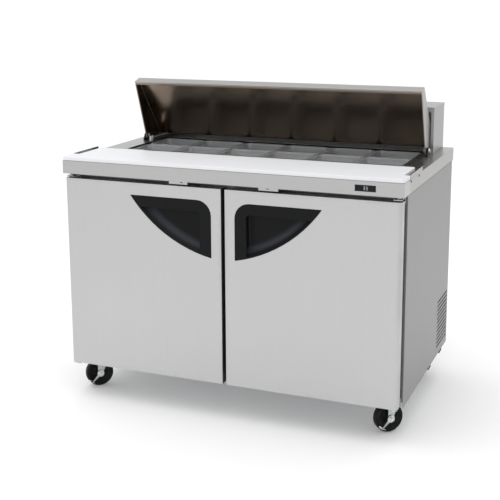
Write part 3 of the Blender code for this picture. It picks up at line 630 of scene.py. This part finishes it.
def joined(pieces):
    # one piece out of several
    calm()
    for piece in pieces:
        piece.select_set(True)
    bpy.context.view_layer.objects.active = pieces[0]
    if len(pieces) > 1:
        bpy.ops.object.join()
    return bpy.context.view_layer.objects.active


def repeated(master, places):
    # a copy with its own mesh at each place, and the first one goes
    copies = []
    for place in places:
        piece = bpy.data.objects.new(master.name, master.data.copy())
        scene.collection.objects.link(piece)
        piece.data.transform(place if isinstance(place, Matrix) else Matrix.Translation(place))
        copies.append(piece)
    bpy.data.objects.remove(master)
    return joined(copies)


def crossScrew(radius):
    # a domed head with a cross cut in it, facing up
    dome = [
        (0, -0.25), (0.96, -0.25), (1, -0.15), (1, 0.15), (0.90, 0.36), (0.68, 0.50), (0.35, 0.57), (0, 0.60),
    ]
    head = lathe([(radius * out, radius * up) for out, up in dome], steps=20)
    arm = radius * 0.52
    bar = radius * 0.13
    cross = joined([
        block((-arm, -bar, radius * 0.15), (arm, bar, radius)),
        block((-bar, -arm, radius * 0.15), (bar, arm, radius)),
    ])
    hold(head)
    slot = head.modifiers.new("slot", "BOOLEAN")
    slot.object = cross
    slot.operation = "DIFFERENCE"
    slot.solver = "EXACT"
    slot.use_self = True
    bpy.ops.object.modifier_apply(modifier="slot")
    bpy.data.objects.remove(cross)
    hold(head)
    bpy.ops.object.shade_smooth_by_angle(angle=math.radians(35))
    return head


def hexNut(size, tall):
    # six flats with rounded corners on a washer, the thread's end standing out
    calm()
    bpy.ops.mesh.primitive_cylinder_add(vertices=6, radius=size / math.sqrt(3), depth=tall)
    nut = rounded(bpy.context.object, tall * 0.12, 2, 20)
    thread = [(0, -0.4), (0.28, -0.4), (0.28, 0.70), (0.28 * 0.82, 0.82), (0, 0.82)]
    thread = lathe([(size * out, tall * up) for out, up in thread], steps=16)
    washer = [(0, -0.5), (0.70, -0.5), (0.72, -0.44), (0.70, -0.38), (0, -0.38)]
    washer = lathe([(size * out, tall * up) for out, up in washer], steps=24)
    return joined([nut, thread, washer])


def bothSides(half):
    # an outline with its mirror image above the middle, closed
    return half + [(radius, -height) for radius, height in reversed(half)] + [half[0]]


def screws(name, body, radius, places, direction, material, turn=0.0):
    spin = Matrix.Rotation(turn, 4, "Z")
    pieces = repeated(crossScrew(radius), [aimed(place, direction) @ spin for place in places])
    return fit(pieces, name, body, material)


print("sheet metal")
edgeWidths = {
    "worktop": 0.0014, "front_rail": 0.0012, "rear_hood": 0.0010, "lid_shell": 0.0014, "lid_liner": 0.0008,
    "side_panel_left": 0.0008, "side_panel_right": 0.0008, "front_frame": 0.0010, "back_panel": 0.0004,
    "rear_grille": 0.0006, "base_plate": 0.0008, "cabinet_liner": 0.0020, "evaporator_cover": 0.0010,
    "hinge_left_top": 0.0010, "hinge_left_bottom": 0.0010, "hinge_right_top": 0.0010,
    "hinge_right_bottom": 0.0010, "lid_pivot_left": 0.0008, "lid_pivot_right": 0.0008,
    "pan_seat_frame": 0.0008, "temperature_display": 0.0008, "power_inlet_gland": 0.0006,
    "compressor": 0.0030, "evaporator_fan": 0.0005, "condenser_fan": 0.0005, "evaporator_coil": 0.0004,
    "condenser_coil": 0.0004, "door_left_liner": 0.0025, "door_right_liner": 0.0025,
    "brake_lever_front_left": 0.0006, "brake_lever_front_right": 0.0006,
}
for node, width in edgeWidths.items():
    refined(node, width)

print("cutting board")
refined("cutting_board", 0.0026, 4)

print("door handles")
grip = {
    "width": 0.303, "height": 0.197, "bulge": 0.035,  # the handle's outline and its curve's rise
    "slope": 0.86, "edge": 0.0018, "tip": 0.0030, "lip": 0.0042, "fillet": 0.010,
    "wall": 0.008, "rimSide": 0.041, "rimTop": 0.037, "deep": 0.010, "doorEdge": 0.0009,
}
# the curve's radius and centre, from its chord and its rise
chord = math.hypot(grip["width"], grip["height"])
grip["arc"] = (chord ** 2 / 4 + grip["bulge"] ** 2) / (2 * grip["bulge"])
lean = (grip["arc"] - grip["bulge"]) / chord
low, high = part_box("door_right_handle")
grip["arcX"] = (low.x + high.x) / 2 - lean * grip["height"]
grip["arcZ"] = (low.z + high.z) / 2 + lean * grip["width"]
for name, side in (("left", -1), ("right", 1)):
    node = "door_" + name + "_handle"
    low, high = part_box(node)
    handle = copied(node)
    nearX, farX = sorted((abs(low.x), abs(high.x)))
    tips = ((side * farX, high.z), (side * nearX, low.z))

    def atTip(a, b):
        # an edge through the thickness, at one of the two points of the outline
        runsBack = abs(a.y - b.y) > 0.0008 and math.hypot(a.x - b.x, a.z - b.z) < 0.0002
        return runsBack and min(math.hypot(a.x - x, a.z - z) for x, z in tips) < 0.004

    panel = "door_" + name + "_panel"
    sheet = copied(panel)
    pick(sheet, "EDGE", atTip)
    bpy.ops.mesh.bevel(offset=grip["tip"], segments=3, affect="EDGES")
    calm()
    rounded(sheet, grip["doorEdge"])
    fit(sheet, panel + "_fine", bodyOf[panel], steels[panel], [panel])
    inner = Vector((side * (nearX + grip["rimSide"]), 0, high.z - grip["rimTop"]))

    def inPocket(spot):
        # on the pocket's curved wall
        inset = grip["arc"] - math.hypot(spot.x * side - grip["arcX"], spot.z - grip["arcZ"])
        inside = spot.z < inner.z + 0.001 and spot.x * side > inner.x * side - 0.001
        return inside and abs(inset - grip["wall"]) < 0.0015

    # the pocket reaches out until only a thin lip is left along the curve
    pick(handle, "VERT", inPocket)
    ratio = (grip["arc"] - grip["lip"]) / (grip["arc"] - grip["wall"])
    pivot = (side * grip["arcX"], 0, grip["arcZ"])
    bpy.ops.transform.resize(value=(ratio, 1, ratio), center_override=pivot)
    # the floor drawn in towards its upper inner corner, so the curved wall slopes
    pick(handle, "FACE", lambda spot, normal: normal.y < -0.9 and spot.y > low.y + grip["deep"])
    bpy.ops.transform.resize(value=(grip["slope"], 1, grip["slope"]), center_override=inner)
    deep = (low.y + grip["deep"], high.y - 0.002)
    pick(handle, "EDGE", lambda a, b: abs(a.y - b.y) < 0.0001 and deep[0] < a.y < deep[1])
    bpy.ops.mesh.bevel(offset=grip["fillet"], segments=5, affect="EDGES", clamp_overlap=True)
    pick(handle, "EDGE", atTip)
    bpy.ops.mesh.bevel(offset=grip["tip"], segments=3, affect="EDGES")
    calm()
    rounded(handle, grip["edge"], 3, 35)
    plastic = blackPlastic("gripPlastic" + name.capitalize(), pocket=(side, low.y))
    fit(handle, node + "_fine", bodyOf[node], plastic, [node])
    # painted shade: a thin black strip on the door's inner edge, dark in the gap between the doors
    trim = block((side * 0.0061, -0.3765, 0.1290), (side * 0.0068, -0.3460, 0.8090))
    edit(trim)
    bpy.ops.mesh.normals_make_consistent(inside=False)
    calm()
    rounded(trim, 0.00015, 1)
    fit(trim, "doorEdge" + name.capitalize(), bodyOf[node], wellBlack)

print("door seals")
for name in ("left", "right"):
    node = "door_" + name + "_gasket"
    low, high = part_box(node)
    seal = copied(node)
    for part in (0.22, 0.42, 0.62, 0.82):
        level = low.y + (high.y - low.y) * part
        edit(seal)
        bpy.ops.mesh.bisect(plane_co=(0, level, 0), plane_no=(0, 1, 0))
        calm()
    # the bellows: two of the rings pulled in
    folds = [low.y + (high.y - low.y) * part for part in (0.22, 0.62)]
    pick(seal, "VERT", lambda spot: min(abs(spot.y - fold) for fold in folds) < 0.0003)
    bpy.ops.transform.shrink_fatten(value=-0.0022)
    calm()
    rounded(seal, 0.0007, 2, 20)
    fit(seal, node + "_fine", bodyOf[node], gasketRubber, [node])

print("pans")
seatLow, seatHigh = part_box("pan_front_1")
pan = {
    "rimThick": 0.0042, "rimWide": 0.009, "wall": 0.0026,
    "corner": 0.020, "floorEdge": 0.009, "taper": 0.0095,
}
middle = (seatLow + seatHigh) / 2
reach = (seatHigh - seatLow) / 2
mouth = (reach.x - pan["rimWide"], reach.y - pan["rimWide"])
calm()
bpy.ops.mesh.primitive_cube_add(size=1, location=middle)
master = bpy.context.object
master.scale = (mouth[0] * 2, mouth[1] * 2, reach.z * 2)
bpy.ops.object.transform_apply(location=True, rotation=True, scale=True)
pick(master, "EDGE", lambda a, b: abs(a.z - b.z) > 0.01)
bpy.ops.mesh.bevel(offset=pan["corner"], segments=6, affect="EDGES")
pick(master, "VERT", lambda spot: spot.z < middle.z)
narrow = [(edge - pan["taper"]) / edge for edge in mouth]
bpy.ops.transform.resize(value=(narrow[0], narrow[1], 1), center_override=middle)
pick(master, "EDGE", lambda a, b: a.z < middle.z and b.z < middle.z)
bpy.ops.mesh.bevel(offset=pan["floorEdge"], segments=4, affect="EDGES")
pick(master, "FACE", lambda spot, normal: normal.z > 0.9)
bpy.ops.mesh.delete(type="FACE")
pick(master, "EDGE", lambda a, b: min(a.z, b.z) > seatHigh.z - 0.0001)
wide = [(edge + pan["rimWide"] - pan["rimThick"] * 0.3) / edge for edge in mouth]
bpy.ops.mesh.extrude_edges_move()
bpy.ops.transform.resize(value=(wide[0], wide[1], 1), center_override=(middle.x, middle.y, seatHigh.z))
drop = pan["rimThick"] - 0.0006
bpy.ops.mesh.extrude_edges_move(TRANSFORM_OT_translate={"value": (0, 0, -drop)})
bpy.ops.mesh.select_all(action="SELECT")
bpy.ops.mesh.normals_make_consistent(inside=False)
hold(master)
shell = master.modifiers.new("shell", "SOLIDIFY")
shell.thickness = pan["wall"]
shell.offset = -1
shell.use_even_offset = True
bpy.ops.object.modifier_apply(modifier="shell")
rounded(master, 0.0006, 2, 40)
for node in [name for name in nodes if name.startswith(("pan_front_", "pan_rear_"))]:
    low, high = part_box(node)
    piece = bpy.data.objects.new(node, master.data.copy())
    scene.collection.objects.link(piece)
    piece.data.transform(Matrix.Translation((low + high) / 2 - middle))
    fit(piece, node + "_fine", bodyOf[node], clearPan, [node])
bpy.data.objects.remove(master)

print("casters")
casterTurn = math.radians(44)  # how far the forks are turned from straight ahead
wheelAxis = Vector((-math.sin(casterTurn), math.cos(casterTurn), 0))
forkSide = Vector((math.cos(casterTurn), math.sin(casterTurn), 0))
wheel = {"radius": 0.051, "half": 0.0155, "hub": 0.034, "web": 0.0088, "bearing": 0.0125}
caster = {
    "trail": 0.012, "cheek": 0.0232, "braked": 0.0268,
    "axleNut": (0.0175, 0.0058), "kingNut": (0.013, 0.005), "plateNut": (0.011, 0.0055),
}
for place in ("front_left", "front_right", "rear_left", "rear_right"):
    node = "caster_" + place + "_wheel"
    body = bodyOf[node]
    low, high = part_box(node)
    centre = (low + high) / 2
    r, h, hub, bearing = wheel["radius"], wheel["half"], wheel["hub"], wheel["bearing"]
    treadHalf = [
        (hub, -h * 0.72), (r - 0.010, -h * 0.90), (r - 0.006, -h), (r - 0.0028, -h * 0.93),
        (r - 0.0008, -h * 0.74), (r, -h * 0.45),
    ]
    tread = lathe(bothSides(treadHalf), centre, wheelAxis, 48, 40)
    fit(tread, node + "_tread", body, tyreRubber, [node])
    hubHalf = [
        (bearing, -h * 0.93), (bearing + 0.0035, -h * 0.93), (bearing + 0.005, -h * 0.78),
        (bearing + 0.0065, -wheel["web"]), (hub - 0.006, -wheel["web"]), (hub - 0.003, -h * 0.68),
        (hub + 0.0010, -h * 0.76),
    ]
    spokes = [lathe(bothSides(hubHalf), centre, wheelAxis, 40, 30)]
    for step in range(10):
        rib = block((bearing + 0.002, -0.0012, -h * 0.72), (hub - 0.001, 0.0012, h * 0.72), 0.0004, 1)
        rib.data.transform(aimed(centre, wheelAxis) @ Matrix.Rotation(math.tau * step / 10, 4, "Z"))
        spokes.append(rib)
    fit(joined(spokes), node + "_hub", body, hubPlastic)
    ringHalf = [
        (0.0056, -h * 0.90), (0.0075, -h * 0.90), (0.0080, -h * 0.84), (0.0105, -h * 0.84),
        (0.0110, -h * 0.90), (bearing, -h * 0.90),
    ]
    fit(lathe(bothSides(ringHalf), centre, wheelAxis, 32), node + "_bearing", body, zinc)

    fork = "caster_" + place + "_fork"
    carrier = bodyOf[fork]
    outside = caster["braked"] if place.startswith("front") else caster["cheek"]
    ends = []
    for way, stand in ((-1, outside), (1, caster["cheek"])):
        nut = hexNut(*caster["axleNut"])
        nut.data.transform(aimed(centre + wheelAxis * way * stand, wheelAxis * way))
        ends.append(nut)
    fit(joined(ends), fork + "_axleNuts", carrier, chrome)
    refined(fork, 0.0010)
    swivel = centre + forkSide * caster["trail"]
    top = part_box(fork)[1].z
    race = [
        (0.012, 0.0135), (0.021, 0.0135), (0.0245, 0.0115), (0.0255, 0.0085), (0.0245, 0.0062),
        (0.0222, 0.0052), (0.0222, 0.0038), (0.0236, 0.0028), (0.0232, 0.0008), (0.012, 0.0008),
        (0.012, 0.0135),
    ]
    race = lathe([(radius, top - below) for radius, below in race], (swivel.x, swivel.y, 0), steps=40)
    fit(race, fork + "_race", carrier, zinc)
    kingNut = hexNut(*caster["kingNut"])
    kingNut.data.transform(aimed((swivel.x, swivel.y, top - 0.0165), (0, 0, -1)))
    fit(kingNut, fork + "_nut", carrier, zinc)

print("brake pedals")
pedalPlace = {"along": -0.0355, "across": -0.0285, "up": -0.0262, "tilt": math.radians(22)}
for place in ("front_left", "front_right"):
    low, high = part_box("caster_" + place + "_wheel")
    centre = (low + high) / 2
    pedal = block((-0.0095, -0.0080, -0.0010), (0.0095, 0.0080, 0.0010), 0.0007)
    edge = block((-0.0100, -0.0080, -0.0006), (-0.0078, 0.0080, 0.0052), 0.0007)
    pedal = joined([pedal, edge])
    offset = Matrix.Translation((pedalPlace["along"], pedalPlace["across"], pedalPlace["up"]))
    turned = Matrix((forkSide, wheelAxis, Vector((0, 0, 1)))).transposed().to_4x4()
    turned = turned @ offset @ Matrix.Rotation(pedalPlace["tilt"], 4, "Y")
    pedal.data.transform(Matrix.Translation(centre) @ turned)
    fit(pedal, "brakePedal" + place.title().replace("_", ""), bodyOf["brake_lever_" + place], chrome)

print("display")
low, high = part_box("temperature_display")
digit = {"tall": 0.0105, "wide": 0.0058, "bar": 0.0009, "between": 0.003}
face = low.y - 0.0001


def sevenBars(lit, corner):
    # one digit of a seven-bar display, its lit bars standing just out of the window
    wide, half, bar = digit["wide"], digit["tall"] / 2, digit["bar"]
    end = bar * 0.6
    spans = {
        "a": ((end, half * 2 - bar), (wide - end, half * 2)),
        "b": ((wide - bar, half + end), (wide, half * 2 - end)),
        "c": ((wide - bar, end), (wide, half - end)),
        "d": ((end, 0), (wide - end, bar)),
        "e": ((0, end), (bar, half - end)),
        "f": ((0, half + end), (bar, half * 2 - end)),
        "g": ((end, half - bar / 2), (wide - end, half + bar / 2)),
    }
    pieces = []
    for name in lit:
        near, far = spans[name]
        lowCorner = (corner[0] + near[0], face - 0.0002, corner[1] + near[1])
        highCorner = (corner[0] + far[0], face + 0.0004, corner[1] + far[1])
        pieces.append(block(lowCorner, highCorner, 0.00015, 1))
    return joined(pieces)


start = (low.x + high.x) / 2 - digit["wide"] - digit["between"] / 2
base = (low.z + high.z) / 2 - digit["tall"] / 2
digits = [sevenBars("abgcd", (start + step * (digit["wide"] + digit["between"]), base)) for step in (0, 1)]
digits = joined(digits)
fit(digits, "displayDigits", "cabinet", digitLight)

print("hinges")
pinProfile = [
    (0, -0.0125), (0.0036, -0.0125), (0.0040, -0.0118), (0.0040, 0.0075), (0.0068, 0.0080), (0.0074, 0.0090),
    (0.0074, 0.0105), (0.0066, 0.0118), (0.0030, 0.0124), (0, 0.0124),
]
bushProfile = [
    (0.0044, -0.0026), (0.0088, -0.0026), (0.0094, -0.0020), (0.0094, -0.0006), (0.0084, 0.0), (0.0044, 0.0),
    (0.0044, -0.0026),
]
for name in ("left", "right"):
    for end, sign in (("top", 1), ("bottom", -1)):
        node = "hinge_" + name + "_" + end
        low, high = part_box(node)
        plate = high.z if end == "top" else low.z
        x, y = jointPlace["door_" + name + "_hinge"][:2]
        pin = lathe(pinProfile, (x, y, plate - sign * 0.0075), (0, 0, sign), 28)
        fit(pin, node + "_pin", "cabinet", chrome)
        ring = lathe(bushProfile, (x, y, plate - sign * 0.0041), (0, 0, sign), 28)
        fit(ring, node + "_bush", "cabinet", gasketRubber)

print("fastenings")
# painted shade: black blocks on the rail stand for the dark inside of the two tab slots
slots = []
for x in (-0.150, 0.160):
    slots.append(block((x - 0.0045, -0.3815, 0.8222), (x + 0.0045, -0.3795, 0.8246), 0.0006))
fit(joined(slots), "tabSlots", "cabinet", wellBlack)
low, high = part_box("worktop")
for name, side in (("Left", -1), ("Right", 1)):
    places = [(side * (high.x - 0.0002), y, 0.8645) for y in (-0.297, -0.187)]
    screws("earScrews" + name, "cabinet", 0.0040, places, (side, 0, 0), darkSteel, 0.4)
# painted shade: dark strips in the slit in front of each ear and in the shadow line under the worktop's
# skirts
shadeStrips = []
for x in (-high.x - 0.0003, high.x - 0.0004):
    shadeStrips.append(block((x, -0.3045, 0.8660), (x + 0.0007, -0.3030, 0.8866), 0.0002, 1))
for x in (-0.6116, 0.6100):
    shadeStrips.append(block((x, -0.3180, 0.8232), (x + 0.0016, 0.3740, 0.8262), 0.0004, 1))
fit(joined(shadeStrips), "sideSeals", "cabinet", gasketRubber)
low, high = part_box("back_panel")
rows = [low.z + 0.014 + (high.z - low.z - 0.028) * step / 6 for step in range(7)]
columns = [low.x + 0.016 + (high.x - low.x - 0.032) * step / 9 for step in range(10)]
rim = [(x, high.y, z) for x in (columns[0], columns[-1]) for z in rows]
rim += [(x, high.y, z) for x in columns[1:-1] for z in (rows[0], rows[-1])]
screws("backScrews", "cabinet", 0.0038, rim, (0, 1, 0), zinc, 0.6)
low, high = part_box("rear_grille")
rim = [(x, high.y, z) for x in (low.x + 0.008, 0, high.x - 0.008) for z in (low.z + 0.008, high.z - 0.008)]
screws("grilleScrews", "cabinet", 0.0034, rim, (0, 1, 0), zinc, 0.2)

print("lid")
lid = {"open": math.radians(-70), "ring": 0.0068, "wire": 0.0009, "cap": 0.0009}
hinge = Vector(jointPlace["lid_hinge"])
low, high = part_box("lid_liner")
boltProfile = [
    (0, -0.0004), (0.0085, -0.0004), (0.0088, 0.0002), (0.0085, 0.0009), (0.0062, 0.0011),
    (0.0062, 0.0030), (0.0052, 0.0040), (0.0026, 0.0042), (0.0022, 0.0030), (0, 0.0030),
]
for name, side in (("Left", -1), ("Right", 1)):
    outside = max(abs(corner.x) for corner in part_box("lid_pivot_" + name.lower()))
    bolt = lathe(boltProfile, (side * outside, hinge.y, hinge.z), (side, 0, 0), 28)
    fit(bolt, "lidBolt" + name, "cabinet", chrome)
    nut = hexNut(0.011, 0.0040)
    nut.data.transform(aimed((side * (abs(low.x) - 0.0041), hinge.y, hinge.z), (-side, 0, 0)))
    fit(nut, "lidNut" + name, "lid", chrome)
    bends = []
    for step in range(10):
        angle = step * math.pi / 5
        y, z = hinge.y + lid["ring"] * math.cos(angle), hinge.z + lid["ring"] * math.sin(angle)
        bends.append((side * (outside - 0.001), y, z))
    fit(tube(bends, lid["wire"], closed=True), "lidRing" + name, "cabinet", zinc)

# bright inner edge of the lid's front lip, made closed and swung up
trim = block((-0.5555, -0.0750, 0.8757), (0.5555, -0.0682, 0.8768), 0.0004)
trim.data.transform(
    Matrix.Translation(hinge) @ Matrix.Rotation(lid["open"], 4, "X") @ Matrix.Translation(-hinge))
fit(trim, "lidTrim", "lid", mirror)
beads = []
for side in (-1, 1):
    beads.append(tube([(side * 0.5538, 0.0930, 1.1070), (side * 0.5538, 0.2540, 0.8968)], lid["wire"]))
fit(joined(beads), "lidBeads", "lid", steels["lid_shell"])
low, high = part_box("rear_hood")
capLow = (low.x - lid["cap"], low.y - lid["cap"], high.z - 0.0100)
capHigh = (high.x + lid["cap"], high.y + 0.0006, high.z + 0.0007)
cap = block(capLow, capHigh, 0.0009, 3)
fit(cap, "hoodCap", "cabinet", steels["rear_hood"])

print("shelves")
shelf = {"frame": 0.0030, "wire": 0.0016, "pitch": 0.0245, "corner": 0.014, "post": 0.0065, "clip": 0.055}
for name, side in (("left", -1), ("right", 1)):
    node = "shelf_" + name
    low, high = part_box(node)
    frameRod, wireRod = shelf["frame"], shelf["wire"]
    level = high.z - wireRod * 2 - frameRod
    near, far = low + Vector((frameRod, frameRod, 0)), high - Vector((frameRod, frameRod, 0))
    corners = [(near.x, near.y, level), (far.x, near.y, level), (far.x, far.y, level), (near.x, far.y, level)]
    border = tube(corners, frameRod, shelf["corner"], True, 3)
    count = int((far.x - near.x - 0.02) / shelf["pitch"])
    gap = (far.x - near.x - 0.02) / count
    bar = tube([(0, near.y - 0.0012, high.z - wireRod), (0, far.y + 0.0012, high.z - wireRod)], wireRod)
    bars = repeated(bar, [(near.x + 0.01 + gap * step, 0, 0) for step in range(count + 1)])
    brace = tube([(near.x, 0, level), (far.x, 0, level)], frameRod * 0.85, sides=3)
    braces = repeated(brace, [(0, near.y + (far.y - near.y) * part, 0) for part in (0.3, 0.7)])
    fit(joined([border, bars, braces]), node + "_wires", "cabinet", wireCoat, [node])
    clips = []
    under = level - frameRod
    for y in (low.y + shelf["clip"], high.y - shelf["clip"]):
        for x, way in ((side * 0.5555, -side), (side * 0.0075, side)):
            stem, tip = x + way * 0.0018, (x + way * 0.0325, x + way * 0.0342)
            clips += [
                block((x, y - 0.011, under - 0.0022), (x + way * 0.034, y + 0.011, under - 0.0006), 0.0006),
                block((x, y - 0.008, under - 0.016), (stem, y + 0.008, level + 0.010), 0.0006),
                block((tip[0], y - 0.011, under - 0.0010), (tip[1], y + 0.011, level + 0.0020), 0.0006),
            ]
    fit(joined(clips), "shelfClips" + name.capitalize(), "cabinet", zinc)
posts = []
low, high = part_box("shelf_left")
for y in (low.y + shelf["clip"], high.y - shelf["clip"]):
    posts.append(block((-shelf["post"], y - 0.009, 0.1800), (shelf["post"], y + 0.009, 0.640), 0.0012))
    posts.append(block((-0.020, y - 0.018, 0.1798), (0.020, y + 0.018, 0.1825), 0.0008))
fit(joined(posts), "shelfPosts", "cabinet", zinc)

print("louvres")
low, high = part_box("side_panel_right")
louvre = {
    "count": 12, "first": 0.1425, "pitch": 0.0157, "slot": 0.007, "near": 0.195, "far": 0.365,
    "lip": 0.0038, "droop": 0.0034,
}
lipLow = (low.x - louvre["lip"], louvre["near"] + 0.0005, louvre["slot"] - 0.0004)
lipHigh = (low.x + 0.0012, louvre["far"] - 0.0005, louvre["slot"] + 0.0012)
lip = block(lipLow, lipHigh)
pick(lip, "VERT", lambda spot: spot.x < low.x - 0.001)
bpy.ops.transform.translate(value=(0, 0, -louvre["droop"]))
calm()
rounded(lip, 0.0004, 2, 20)
lips = repeated(lip, [(0, 0, louvre["first"] + louvre["pitch"] * step) for step in range(louvre["count"])])
fit(lips, "louvreLips", "cabinet", steels["side_panel_right"])
# painted shade: a dark plate behind the louvres so the slots between the lips look dark
plateLow = (low.x - 0.0062, louvre["near"] - 0.006, louvre["first"] - 0.005)
plateHigh = (low.x - 0.0048, louvre["far"] + 0.004, louvre["first"] + louvre["pitch"] * louvre["count"])
fit(block(plateLow, plateHigh, 0.0005), "louvreFilter", "cabinet", wellBlack)

print("evaporator")
guard = {"rings": (0.018, 0.032, 0.046, 0.060, 0.074), "wire": 0.0011, "spoke": 0.0013, "reach": 0.084}
low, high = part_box("evaporator_cover")
hub = Vector((jointPlace["evaporator_fan_spin"][0], low.y - 0.0012, (low.z + high.z) / 2 + 0.0005))
wires = []
for radius in guard["rings"]:
    calm()
    bpy.ops.mesh.primitive_torus_add(
        major_radius=radius, minor_radius=guard["wire"], major_segments=48, minor_segments=8,
        location=hub, rotation=(math.pi / 2, 0, 0),
    )
    wires.append(bpy.context.object)
    bpy.ops.object.transform_apply(location=True, rotation=True, scale=True)
    bpy.ops.object.shade_smooth_by_angle(angle=math.radians(60))
for step in range(4):
    angle = math.pi / 4 * (1 + 2 * step)
    outward = Vector((math.cos(angle), 0, math.sin(angle)))
    front, back = Vector((0, -0.001, 0)), Vector((0, 0.0012, 0))
    end = hub + outward * guard["reach"]
    wires.append(tube([hub + outward * 0.014 + front, end + front, end + back], guard["spoke"], 0.0008))
fit(joined(wires), "fanGuard", "cabinet", wireCoat)
columns = (low.x + 0.012, (low.x + high.x) / 2 - 0.02, high.x - 0.012)
rim = [(x, low.y, z) for x in columns for z in (low.z + 0.012, high.z - 0.012)]
screws("coverScrews", "cabinet", 0.0036, rim, (0, -1, 0), zinc, 0.5)
drain = [
    (-0.20, high.y - 0.002, low.z + 0.01), (-0.20, high.y - 0.002, low.z - 0.030),
    (-0.20, high.y - 0.030, low.z - 0.045), (-0.20, high.y - 0.030, low.z - 0.058),
]
fit(tube(drain, 0.0045, 0.012, sides=3), "drainTube", "cabinet", clearPan)

print("machinery")
low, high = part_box("compressor")
middle = (low + high) / 2
copper = platedMetal("pipeCopper", (0.72, 0.38, 0.24), 0.30, tarnish=(0.30, 0.17, 0.11))
rise, outlet = high.z + 0.022, low.z + 0.07
suction = [
    (middle.x, middle.y, high.z - 0.002), (middle.x, middle.y, rise),
    (high.x + 0.10, middle.y, rise), (high.x + 0.10, middle.y + 0.04, rise),
]
discharge = [
    (high.x - 0.008, middle.y, outlet), (high.x + 0.03, middle.y, outlet),
    (high.x + 0.03, middle.y + 0.05, outlet), (high.x + 0.18, middle.y + 0.05, outlet),
]
pipes = [tube(suction, 0.0042, 0.014, sides=3), tube(discharge, 0.0036, 0.012, sides=3)]
fit(joined(pipes), "compressorPipes", "cabinet", copper)
boxLow = (low.x - 0.016, middle.y - 0.024, low.z + 0.055)
boxHigh = (low.x + 0.006, middle.y + 0.024, low.z + 0.105)
terminal = block(boxLow, boxHigh, 0.003, 3)
fit(terminal, "compressorTerminal", "cabinet", handleBlack)

print("underside")
pads = [block((0.596, y, 0.0985), (0.6085, y + 0.040, 0.1125), 0.003, 3) for y in (0.075, 0.262)]
fit(joined(pads), "basePads", "cabinet", gasketRubber)
plateNuts = []
for place in ("front_left", "front_right", "rear_left", "rear_right"):
    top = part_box("caster_" + place + "_fork")[1].z
    wheelLow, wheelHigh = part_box("caster_" + place + "_wheel")
    centre = (wheelLow + wheelHigh) / 2 + forkSide * caster["trail"]
    nuts = hexNut(*caster["plateNut"])
    nuts.data.transform(Matrix.Rotation(math.pi, 4, "X"))
    corners = [(centre.x + x, centre.y + y, top - 0.0022) for x in (-0.038, 0.038) for y in (-0.030, 0.030)]
    plateNuts.append(repeated(nuts, corners))
fit(joined(plateNuts), "plateNuts", "cabinet", zinc)
